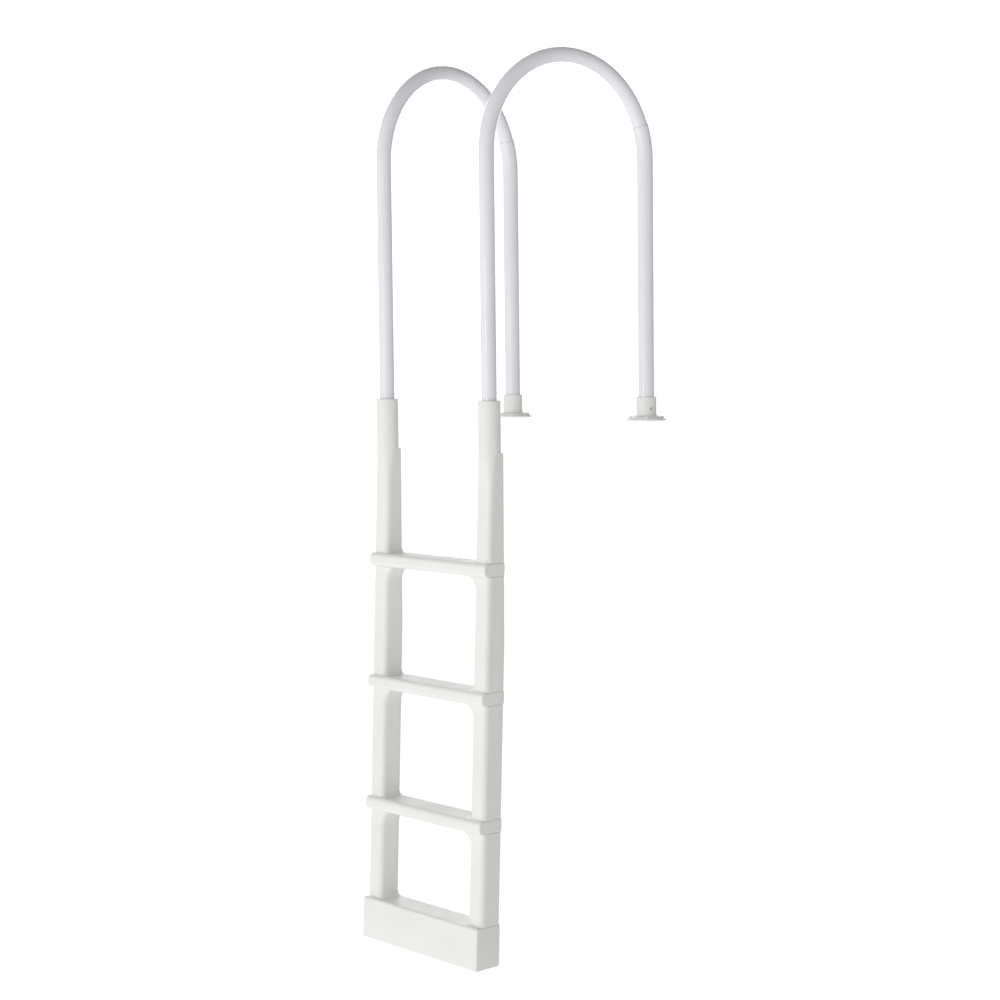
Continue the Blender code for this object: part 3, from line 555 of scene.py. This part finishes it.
def build_flange(side_name, side):
    place = Vector((side * REAR_X, REAR_Y, 0.0))
    collar_bore = LEG_TUBE_RADIUS + BORE_GAP
    collar = collar_bore + COLLAR_WALL
    radius = (FLANGE_HIGH.x - FLANGE_LOW.x) / 2
    step = radius - FLANGE_STEP
    top = FLANGE_HIGH.z
    profile = soften(
        [
            (0, FLANGE_FLOOR, 0),
            (collar_bore, FLANGE_FLOOR, 0.0008),
            (collar_bore, top, 0.0008),
            (collar, top, 0.0014),
            (collar, FLANGE_SLOPE_TOP, 0.0035),
            (step - 0.0004, 0.0082, 0.0012),
            (step, FLANGE_RIM + 0.0001, 0.0006),
            (radius, FLANGE_RIM, 0.0015),
            (radius, 0.0, 0.0006),
            (0, 0.0, 0),
        ],
        6,
    )
    name = f"{side_name}_flange"
    flange = add_object(name, lathe(name, profile, 128, True), Matrix.Translation(place))
    for index in range(4):
        angle = math.radians(90 * index + 45)
        out = Vector((math.cos(angle), math.sin(angle), 0.0))
        spot = Matrix.Translation(place + (collar + DECK_HOLE_OFFSET) * out)
        boss = lathe("boss", soften(BOSS_PROFILE, 5), 40, True)
        boolean(flange, add_object("boss", boss, spot), "UNION")
        boolean(flange, add_object("sink", lathe("sink", SINK_PROFILE, 32, True), spot))
    out = Vector((side * math.cos(FLANGE_SCREW_AZIMUTH), math.sin(FLANGE_SCREW_AZIMUTH), 0.0))
    seat = place + out * collar + Vector((0.0, 0.0, FLANGE_SCREW_HEIGHT))
    drill(flange, FLANGE_SCREW[0] + DRILL_GAP, 0.008, facing(seat, out))
    stand_for(flange, f"{side_name}_deck_flange", "moulded_white")
    piece = screw(f"{side_name}_flange_clamp_screw", FLANGE_SCREW, 0.0044, facing(seat, out))
    stand_for(piece, f"{side_name}_flange_screw", "stainless")


# Side rails and uprights

CORNER_POINTS = 12
FLAT_POINTS = 5


def nosing_y(z):
    """The line through the fronts of the treads."""
    return FRONT_Y - SOCKET_BORE - RAIL_LEAD - RAIL_SETBACK + LEAN * (z - SHOULDER_Z)


def rail_depth(z):
    share = min(1.0, max(0.0, (SHOULDER_Z - z) / RAIL_TAPER_LENGTH))
    return RAIL_DEPTH_TOP + share * (RAIL_DEPTH - RAIL_DEPTH_TOP)


def rail_y_span(z, inset=0.0):
    front = nosing_y(z) + RAIL_SETBACK
    return front + inset, front + rail_depth(z) - inset


def box_ring(x_span, y_span, corners, z):
    """A rectangle with round corners and points along its flats, counterclockwise from its +X side. corners
    are its radii at +Y and -Y.
    """
    arcs = []
    for quarter in range(4):
        corner = corners[quarter // 2]
        x = x_span[1] - corner if quarter in (0, 3) else x_span[0] + corner
        y = y_span[1] - corner if quarter in (0, 1) else y_span[0] + corner
        angles = [math.radians(90) * (quarter + step / (CORNER_POINTS - 1)) for step in range(CORNER_POINTS)]
        arcs.append([Vector((x + corner * math.cos(a), y + corner * math.sin(a), z)) for a in angles])
    ring = []
    for quarter, points in enumerate(arcs):
        ring += points
        start, end = points[-1], arcs[(quarter + 1) % 4][0]
        ring += [start.lerp(end, (step + 1) / (FLAT_POINTS + 1)) for step in range(FLAT_POINTS)]
    return ring


def circle_ring(x, y, radius, z):
    """A circle whose points pair up with those of a box_ring."""
    ring = []
    count = CORNER_POINTS + FLAT_POINTS
    for quarter in range(4):
        for step in range(count):
            share = (step - (CORNER_POINTS - 1) / 2) / count
            angle = math.radians(90) * (quarter + 0.5 + share)
            ring.append(Vector((x + radius * math.cos(angle), y + radius * math.sin(angle), z)))
    return ring


def mirrored(rings, side):
    return [[Vector((side * point.x, point.y, point.z)) for point in ring] for ring in rings]


def rail_ring(z, inset=0.0, inward=0.0, corners=RAIL_CORNERS, seat_z=None):
    """The rail's outline at height z, drawn in by inset and run inward at its inner side."""
    x_span = (RAIL_INNER + inset - inward, RAIL_OUTER - inset)
    return box_ring(x_span, rail_y_span(z if seat_z is None else seat_z, inset), corners, z)


def fillet_rings(z, direction, radius, steps):
    """Rings of a fillet that runs from a tread's face at z along the rail's inner side."""
    rings = []
    for step in range(steps + 1):
        angle = math.radians(90) * step / steps
        height = z + direction * radius * (1 - math.cos(angle))
        rings.append(rail_ring(height, inward=radius * (1 - math.sin(angle))))
    return rings


def spigot_ring(z, seat_z, inset=0.0):
    """The outline at height z of the spigot that stands on the rail's end at seat_z."""
    return rail_ring(z, SPIGOT_INSET + inset, 0.0, (SPIGOT_CORNER - inset,) * 2, seat_z)


def straight_rings(high, low, steps):
    return [rail_ring(high + (low - high) * step / steps) for step in range(1, steps)]


def build_rail(side_name, side, index):
    """The rail between one tread and the next, or the base step."""
    top = TREAD_TOPS[index] - TREAD_HEIGHT - SEAT_GAP
    bottom = (BASE_TOP if index == 2 else TREAD_TOPS[index + 1]) + SEAT_GAP
    outer = [spigot_ring(top + SPIGOT_LENGTH, top), spigot_ring(top, top)]
    outer += fillet_rings(top, -1, GUSSET_RADIUS, 24)
    outer += straight_rings(top - GUSSET_RADIUS, bottom + FOOT_FILLET, 8)
    outer += reversed(fillet_rings(bottom, 1, FOOT_FILLET, 12))
    outer += [spigot_ring(bottom, bottom), spigot_ring(bottom - SPIGOT_LENGTH, bottom)]
    duct = [
        spigot_ring(bottom - SPIGOT_LENGTH, bottom, SPIGOT_WALL),
        spigot_ring(bottom + RAIL_WALL, bottom, SPIGOT_WALL),
        rail_ring(bottom + RAIL_WALL, RAIL_WALL, corners=DUCT_CORNERS),
        rail_ring(top - RAIL_WALL, RAIL_WALL, corners=DUCT_CORNERS),
        spigot_ring(top - RAIL_WALL, top, SPIGOT_WALL),
        spigot_ring(top + SPIGOT_LENGTH, top, SPIGOT_WALL),
    ]
    name = f"{side_name}_side_rail_{index + 1}"
    rail = add_object(name, loft(name, mirrored(outer + duct, side), hollow=True))
    stand_for(rail, f"{side_name}_rail_{index + 1}", "moulded_white")


def smooth(share):
    return share * share * (3 - 2 * share)


def blend_rings(steps, shoulder=0.0030):
    """From the round socket to the rail. The rear corners start at the shoulder, the front ones ease in."""
    rings = []
    for step in range(steps + 1):
        drop = SOCKET_BLEND * (step / steps) ** 1.6
        z = SHOULDER_Z - drop
        circle = circle_ring(FRONT_X, FRONT_Y, SOCKET_RADIUS, z)
        box = rail_ring(z)
        rear = math.sqrt(1 - (1 - min(1.0, drop / shoulder)) ** 2)
        front = smooth(step and drop / SOCKET_BLEND)
        half = 2 * (CORNER_POINTS + FLAT_POINTS)
        ring = []
        for place, (round_point, box_point) in enumerate(zip(circle, box)):
            behind = place < half - FLAT_POINTS
            share = rear if behind else front
            if half - FLAT_POINTS <= place < half:
                share = rear + (front - rear) * (place - half + FLAT_POINTS + 1) / (FLAT_POINTS + 1)
            if place >= 2 * half - FLAT_POINTS:
                share = front + (rear - front) * (place - 2 * half + FLAT_POINTS + 1) / (FLAT_POINTS + 1)
            ring.append(round_point.lerp(box_point, share))
        rings.append(ring)
    return rings


def build_upright(side_name, side):
    """The round socket for the handrail's front leg and the rail below it, in one moulding."""
    middle = (FRONT_X, FRONT_Y)
    bottom = TREAD_TOPS[0] + SEAT_GAP
    funnel_z = STOP_Z - STOP_LEDGE
    outer = []
    for step in range(7):
        angle = math.radians(90) * step / 6
        radius = SOCKET_RADIUS - SOCKET_RIM * (1 - math.sin(angle))
        outer.append(circle_ring(*middle, radius, SOCKET_TOP - SOCKET_RIM * (1 - math.cos(angle))))
    outer += [circle_ring(*middle, SOCKET_RADIUS, SOCKET_TOP - depth) for depth in (0.03, 0.06, 0.09)]
    outer += blend_rings(48)
    outer += straight_rings(SHOULDER_Z - SOCKET_BLEND, bottom + FOOT_FILLET, 8)
    outer += reversed(fillet_rings(bottom, 1, FOOT_FILLET, 12))
    outer += [spigot_ring(bottom, bottom), spigot_ring(bottom - SPIGOT_LENGTH, bottom)]
    duct_z = funnel_z - FUNNEL_LENGTH
    bore = [
        spigot_ring(bottom - SPIGOT_LENGTH, bottom, SPIGOT_WALL),
        spigot_ring(bottom + RAIL_WALL, bottom, SPIGOT_WALL),
        rail_ring(bottom + RAIL_WALL, RAIL_WALL, corners=DUCT_CORNERS),
        rail_ring(duct_z, RAIL_WALL, corners=DUCT_CORNERS),
        circle_ring(*middle, STOP_RADIUS, funnel_z),
        circle_ring(*middle, STOP_RADIUS, STOP_Z),
        circle_ring(*middle, SOCKET_BORE, STOP_Z),
        circle_ring(*middle, SOCKET_BORE, SOCKET_TOP - 0.0022),
        circle_ring(*middle, SOCKET_BORE + 0.0006, SOCKET_TOP - 0.0009),
        circle_ring(*middle, SOCKET_BORE + 0.0018, SOCKET_TOP - 0.0001),
        circle_ring(*middle, SOCKET_BORE + 0.0024, SOCKET_TOP),
    ]
    name = f"{side_name}_socket_upright"
    upright = add_object(name, loft(name, mirrored(outer + bore, side), hollow=True))
    rearward = Vector((0.0, 1.0, 0.0))
    seat = Vector((side * FRONT_X, FRONT_Y + SOCKET_RADIUS, SOCKET_TOP - HEIGHT_SCREW_DROP))
    drill(upright, HEIGHT_SCREW[0] + DRILL_GAP, 0.012, facing(seat, rearward))
    stand_for(upright, f"{side_name}_upright", "moulded_white")
    length = SOCKET_RADIUS - TUBE_RADIUS - SEAT_GAP
    piece = screw(f"{side_name}_height_clamp_screw", HEIGHT_SCREW, length, facing(seat, rearward))
    stand_for(piece, f"{side_name}_height_screw", "stainless")


# Treads and base step

FIRST_GROOVE = 0.021  # tread's front to the first anti-slip groove
GROOVE_PITCH = 0.0085
GROOVE_COUNT = 6
GROOVE_WIDTH = 0.0034
GROOVE_DEPTH = 0.0007
GROOVE_HALF_LENGTH = RAIL_INNER - 0.022


def groove(y, x):
    """How deep the anti-slip grooves are at a place on a tread's top, y behind its front."""
    nearest = round((y - FIRST_GROOVE) / GROOVE_PITCH)
    if not 0 <= nearest < GROOVE_COUNT:
        return 0.0
    off = abs(y - FIRST_GROOVE - nearest * GROOVE_PITCH) / (GROOVE_WIDTH / 2)
    past = (abs(x) - GROOVE_HALF_LENGTH) / (GROOVE_WIDTH / 2)
    distance = math.hypot(off, max(0.0, past))
    return GROOVE_DEPTH * smooth(1 - distance) if distance < 1 else 0.0


def curve_points(centre, radius, start, end, steps):
    """An arc between two angles in degrees."""
    angles = [math.radians(start + (end - start) * step / steps) for step in range(steps + 1)]
    return [(centre[0] + radius * math.cos(a), centre[1] + radius * math.sin(a)) for a in angles]


def step_outline(depth, height, top_radius, bottom_radius, rear_radius, grooved):
    """A step's section, from its lower front over its top, as y from its front and z from its top."""
    lip_start = max(top_radius, 0.0100)
    outline = curve_points((bottom_radius, bottom_radius - height), bottom_radius, 270, 180, 10)
    outline += curve_points((top_radius, LIP_HEIGHT - top_radius), top_radius, 180, 90, 10)
    outline += [(lip_start + 0.0002, LIP_HEIGHT), (lip_start + 0.0005, LIP_HEIGHT * 0.94)]
    outline += [(lip_start + 0.0008, LIP_HEIGHT * 0.55), (lip_start + 0.0011, LIP_HEIGHT * 0.12)]
    outline += [(lip_start + 0.0015, 0.0)]
    count = 110 if grooved else 6
    first, last = lip_start + 0.0022, depth - rear_radius
    outline += [(first + (last - first) * step / count, 0.0) for step in range(count)]
    outline += curve_points((depth - rear_radius, -rear_radius), rear_radius, 90, 0, 6)
    outline += curve_points((depth - rear_radius, rear_radius - height), rear_radius, 0, -90, 6)
    return outline


def end_stations(end_radius, grooved):
    """(x, inset) along a step, with its ends rounded and the stations close where the grooves end."""
    stations = []
    for step in range(7):
        angle = math.radians(90) * step / 6
        x = LADDER_HALF_WIDTH - end_radius * (1 - math.cos(angle))
        stations.append((x, end_radius * (1 - math.sin(angle))))
    stations.sort()
    inner = [0.0, 0.05, 0.1, LADDER_HALF_WIDTH - 0.012]
    if grooved:
        inner += [GROOVE_HALF_LENGTH + GROOVE_WIDTH / 2 * share for share in (0, 0.25, 0.5, 0.75, 1.0)]
    half = sorted((x, 0.0) for x in inner) + stations
    return [(-x, inset) for x, inset in reversed(half[1:])] + half


def moulded_step(name, front, top, depth, height, outline, end_radius, grooved=False):
    """A step as wide as the ladder, leaning with the rails."""
    middle_y, middle_z = depth / 2, -height / 2
    rings = []
    for x, inset in end_stations(end_radius, grooved):
        scale_y, scale_z = 1 - inset / (depth / 2), 1 - inset / (height / 2)
        ring = []
        for y, z in outline:
            if grooved and z == 0.0 and inset == 0.0:
                z -= groove(y, x)
            y = middle_y + (y - middle_y) * scale_y
            z = middle_z + (z - middle_z) * scale_z
            ring.append(Vector((x, front + y + LEAN * z, top + z)))
        rings.append(ring)
    return add_object(name, loft(name, rings))


def cut_pocket(step, side, seat_z, direction):
    """The hole in a step for the spigot of the rail at seat_z, which is above it (1) or below it (-1)."""
    rings = []
    for z in (seat_z + direction * 0.004, seat_z - direction * POCKET_DEPTH):
        rings.append(rail_ring(z, SPIGOT_INSET - SPIGOT_GAP, corners=POCKET_CORNERS, seat_z=seat_z))
    boolean(step, add_object("pocket", loft("pocket", mirrored(rings, side))))


def lock_screw(label, side, seat_z, direction, behind):
    """The screw that holds a spigot, from the step's rear, which lies this far behind the nosing line."""
    height = seat_z - direction * 0.6 * SPIGOT_LENGTH
    seat = Vector((side * FRONT_X, nosing_y(height) + behind, height))
    spigot_rear = rail_y_span(seat_z, SPIGOT_INSET)[1]
    length = seat.y - spigot_rear + SPIGOT_WALL + 0.002
    piece = screw(f"{label}_pan_head", TREAD_SCREW, length, facing(seat, REARWARD))
    stand_for(piece, label, "stainless")


def build_tread(index):
    top = TREAD_TOPS[index]
    name = f"tread_{index + 1}"
    depth = RAIL_SETBACK + rail_depth(top) + RAIL_REAR_INSET
    outline = step_outline(depth, TREAD_HEIGHT, 0.0105, 0.012, 0.004, True)
    tread = moulded_step(f"moulded_{name}", nosing_y(top), top, depth, TREAD_HEIGHT, outline, 0.003, True)
    seats = (("upper", top + SEAT_GAP, 1), ("lower", top - TREAD_HEIGHT - SEAT_GAP, -1))
    for side_name, side in SIDES.items():
        for place, seat_z, direction in seats:
            cut_pocket(tread, side, seat_z, direction)
            lock_screw(f"{side_name}_{name}_{place}_screw", side, seat_z, direction, depth)
    stand_for(tread, name, "moulded_white")


def build_base():
    front = nosing_y(BASE_TOP) - BASE_FORWARD
    outline = step_outline(BASE_DEPTH, BASE_HEIGHT, 0.006, 0.006, 0.006, False)
    base = moulded_step("moulded_base_step", front, BASE_TOP, BASE_DEPTH, BASE_HEIGHT, outline, 0.0035)
    low, high, rear = BASE_WALL - BASE_HEIGHT, -BASE_WALL, BASE_DEPTH - BASE_WALL
    section = ((BASE_WALL, high), (rear, high), (rear, low), (BASE_WALL, low))
    rings = []
    for x in (BASE_WALL - LADDER_HALF_WIDTH, LADDER_HALF_WIDTH - BASE_WALL):
        rings.append([Vector((x, front + y + LEAN * z, BASE_TOP + z)) for y, z in section])
    boolean(base, add_object("cavity", loft("cavity", rings)))
    for side_name, side in SIDES.items():
        cut_pocket(base, side, BASE_TOP + SEAT_GAP, 1)
        lock_screw(f"{side_name}_base_screw", side, BASE_TOP + SEAT_GAP, 1, BASE_BEHIND)
    height = BASE_TOP - FILL_HOLE_DROP
    place = Vector((0.0, nosing_y(height) + BASE_BEHIND, height))
    matrix = facing(place, REARWARD)
    flare = FILL_HOLE_RADIUS + 0.0006
    hole = [(0, 0.004), (flare, 0.004), (FILL_HOLE_RADIUS, -0.0006), (FILL_HOLE_RADIUS, -0.009), (0, -0.009)]
    boolean(base, add_object("hole", lathe("hole", hole, 64, True), matrix))
    stand_for(base, "base_step", "moulded_white")
    build_plug(matrix)


def build_plug(matrix):
    """The base step's fill plug: a ribbed head with a coin slot, and a coarse thread."""
    under = 2 * SEAT_GAP + 0.0015
    top = under + 0.007
    radius, shank, low = 0.022, 0.0165, -0.012
    sides = 192
    pitch = 0.003
    rows = []
    outline = [(0.6, top), (0.84, top), (0.9, top - 0.0002), (0.945, top - 0.0007), (0.975, top - 0.0014)]
    outline += [(0.99, top - 0.0024), (0.995, top - 0.0036), (0.995, under + 0.0008), (0.98, under + 0.0002)]
    outline += [(0.965, under)]
    for share, z in outline:
        rib = 0.00035 if 0.97 < share and z > under + 0.0003 else 0.0
        ring = []
        for side in range(sides):
            angle = 2 * math.pi * side / sides
            r = radius * share - rib * (0.5 - 0.5 * math.cos(48 * angle))
            ring.append(Vector((r * math.cos(angle), r * math.sin(angle), z)))
        rows.append(ring)
    count = 48
    for step in range(count + 1):
        z = under + (low - under) * step / count
        fade_in = min(1.0, max(0.0, (under - 0.0012 - z) / 0.0015))
        fade = smooth(fade_in) * smooth(min(1.0, (z - low) / 0.0015))
        ring = []
        for side in range(sides):
            turn = side / sides
            phase = (z / pitch - turn) % 1.0
            crest = max(0.0, 1 - abs(phase - 0.5) / 0.36)
            r = shank - 0.0011 + 0.0011 * fade * min(1.0, crest * 1.6)
            ring.append(Vector((r * math.cos(2 * math.pi * turn), r * math.sin(2 * math.pi * turn), z)))
        rows.append(ring)
    plug = add_object("ribbed_fill_plug", loft("ribbed_fill_plug", rows), matrix)
    slot = []
    for z, grow in ((top + 0.003, 0.0004), (top, 0.0002), (top - 0.0025, 0.0)):
        ring = []
        for end in (0, 1):
            for step in range(9):
                angle = math.radians(180 * (end + step / 8) - 90)
                reach = -0.0142 if end else 0.0142
                half = 0.00175 + grow
                ring.append(Vector((reach + half * math.cos(angle), half * math.sin(angle), z)))
        slot.append(ring)
    boolean(plug, add_object("slot", loft("slot", slot), matrix))
    stand_for(plug, "fill_plug", "moulded_white")
    inner, outer = FILL_HOLE_RADIUS + 0.0001, 0.0209
    top, under = 0.0018, SEAT_GAP
    section = [(inner, top, 0.0005), (outer, top, 0.0006), (outer, under, 0.0006), (inner, under, 0.0005)]
    seal = add_object("fill_plug_seal", lathe("fill_plug_seal", soften(section, 5), 96), matrix)
    stand_for(seal, "fill_plug_gasket", "black_rubber")


for SIDE_NAME, SIDE in SIDES.items():
    build_handrail(SIDE_NAME, SIDE)
    build_flange(SIDE_NAME, SIDE)
    build_upright(SIDE_NAME, SIDE)
    for RAIL_INDEX in range(3):
        build_rail(SIDE_NAME, SIDE, RAIL_INDEX)
for TREAD_INDEX in range(3):
    build_tread(TREAD_INDEX)
build_base()


# Camera, light and floor

CAMERA_PLACE = (3.905, -3.856, 0.197)
CAMERA_YAW = math.radians(47.52)
CAMERA_PITCH = math.radians(4.28)
CAMERA_ROLL = -0.011
CAMERA_LENS = 74.8

# Each lobe of the studio's light: its direction, the cosine from there at which it starts, the one from which
# it is full, and its radiance. The first is the same all round.
STUDIO = [
    ((0.0, 0.0, 1.0), -3.0, -2.0, (0.15, 0.15, 0.15)),
    ((0.0, 0.0, 1.0), -0.2, 1.0, (0.02, 0.02, 0.02)),
    ((0.0, 0.0, -1.0), -0.2, 1.0, (0.59, 0.59, 0.60)),
    ((-0.74, 0.67, 0.05), 0.70, 1.0, (2.00, 2.00, 2.00)),
    ((1.0, 0.0, 0.0), 0.0, 1.0, (0.33, 0.33, 0.33)),
    ((0.0, -1.0, 0.0), 0.0, 1.0, (0.61, 0.61, 0.60)),
    ((-1.0, -0.3, 0.0), 0.0, 1.0, (0.38, 0.38, 0.38)),
]
BACKGROUND = 1.05  # radiance behind the object, as the camera sees it

STRIP_PLACE = (0.45, -2.9, -0.5)
STRIP_TARGET = (0.0, -0.5, -0.5)
STRIP_WIDTH = 0.2
STRIP_HEIGHT = 2.0
STRIP_POWER = 7.5

FLOOR_HALF_SIZE = 40.0


def add_camera():
    camera = bpy.data.objects.new("camera", bpy.data.cameras.new("camera"))
    bpy.context.scene.collection.objects.link(camera)
    yaw, pitch, roll = CAMERA_YAW, CAMERA_PITCH, CAMERA_ROLL
    forward = Vector((-math.sin(yaw) * math.cos(pitch), math.cos(yaw) * math.cos(pitch), -math.sin(pitch)))
    level = Vector((math.cos(yaw), math.sin(yaw), 0.0))
    upward = level.cross(forward)
    right = math.cos(roll) * level + math.sin(roll) * upward
    up = -math.sin(roll) * level + math.cos(roll) * upward
    rotation = Matrix((right, up, -forward)).transposed().to_4x4()
    camera.matrix_world = Matrix.Translation(CAMERA_PLACE) @ rotation
    camera.data.lens = CAMERA_LENS
    camera.data.sensor_width = 36
    camera.data.clip_end = 200
    bpy.context.scene.camera = camera


def add_world():
    """White behind the object, and around it a soft studio made of broad lobes of light."""
    world = bpy.data.worlds.new("studio")
    bpy.context.scene.world = world
    world.use_nodes = True
    nodes, links = world.node_tree.nodes, world.node_tree.links
    nodes.clear()
    place = nodes.new("ShaderNodeTexCoord").outputs["Generated"]
    total = None
    for direction, low, high, colour in STUDIO:
        dot = nodes.new("ShaderNodeVectorMath")
        dot.operation = "DOT_PRODUCT"
        dot.inputs[1].default_value = Vector(direction).normalized()
        links.new(place, dot.inputs[0])
        span = nodes.new("ShaderNodeMapRange")
        span.interpolation_type = "SMOOTHSTEP"
        span.inputs["From Min"].default_value = low
        span.inputs["From Max"].default_value = high
        links.new(dot.outputs["Value"], span.inputs["Value"])
        lobe = nodes.new("ShaderNodeVectorMath")
        lobe.operation = "SCALE"
        lobe.inputs[0].default_value = colour
        links.new(span.outputs["Result"], lobe.inputs["Scale"])
        if total is None:
            total = lobe.outputs["Vector"]
            continue
        both = nodes.new("ShaderNodeVectorMath")
        links.new(total, both.inputs[0])
        links.new(lobe.outputs["Vector"], both.inputs[1])
        total = both.outputs["Vector"]
    soft = nodes.new("ShaderNodeBackground")
    links.new(total, soft.inputs["Color"])
    white = nodes.new("ShaderNodeBackground")
    white.inputs["Color"].default_value = (1.0, 1.0, 1.0, 1.0)
    white.inputs["Strength"].default_value = BACKGROUND
    mix = nodes.new("ShaderNodeMixShader")
    links.new(nodes.new("ShaderNodeLightPath").outputs["Is Camera Ray"], mix.inputs["Fac"])
    links.new(soft.outputs["Background"], mix.inputs[1])
    links.new(white.outputs["Background"], mix.inputs[2])
    links.new(mix.outputs["Shader"], nodes.new("ShaderNodeOutputWorld").inputs["Surface"])


def add_strip():
    """A low, narrow soft box that the camera doesn't see. The glossy tubes show it as a streak."""
    data = bpy.data.lights.new("front_strip", "AREA")
    data.shape = "RECTANGLE"
    data.size = STRIP_WIDTH
    data.size_y = STRIP_HEIGHT
    data.energy = STRIP_POWER
    strip = bpy.data.objects.new("front_strip", data)
    bpy.context.scene.collection.objects.link(strip)
    strip.location = STRIP_PLACE
    strip.rotation_euler = (Vector(STRIP_TARGET) - Vector(STRIP_PLACE)).to_track_quat("-Z", "Y").to_euler()
    strip.visible_camera = False


def add_floor():
    """A pale floor under the ladder's lowest setting, so that it cuts through nothing in any pose."""
    mesh = bpy.data.meshes.new("floor")
    corners = [(u * FLOOR_HALF_SIZE, v * FLOOR_HALF_SIZE, 0) for u, v in ((-1, -1), (1, -1), (1, 1), (-1, 1))]
    mesh.from_pydata(corners, [], [(0, 1, 2, 3)])
    floor = add_object("floor", mesh, Matrix.Translation((0.0, 0.0, POOL_FLOOR - LOWEST_SETTING - 0.0005)))
    material = bpy.data.materials.new("pale_floor")
    material.use_nodes = True
    shader = material.node_tree.nodes["Principled BSDF"]
    shader.inputs["Base Color"].default_value = (0.25, 0.25, 0.25, 1.0)
    shader.inputs["Roughness"].default_value = 1.0
    shader.inputs["Specular IOR Level"].default_value = 0.0
    shader.inputs["Emission Color"].default_value = (1.0, 1.0, 1.0, 1.0)
    shader.inputs["Emission Strength"].default_value = 0.9
    mesh.materials.append(material)
    floor.visible_diffuse = False
    floor.visible_glossy = False


add_camera()
add_world()
add_strip()
add_floor()
bpy.context.scene.view_settings.view_transform = "Standard"
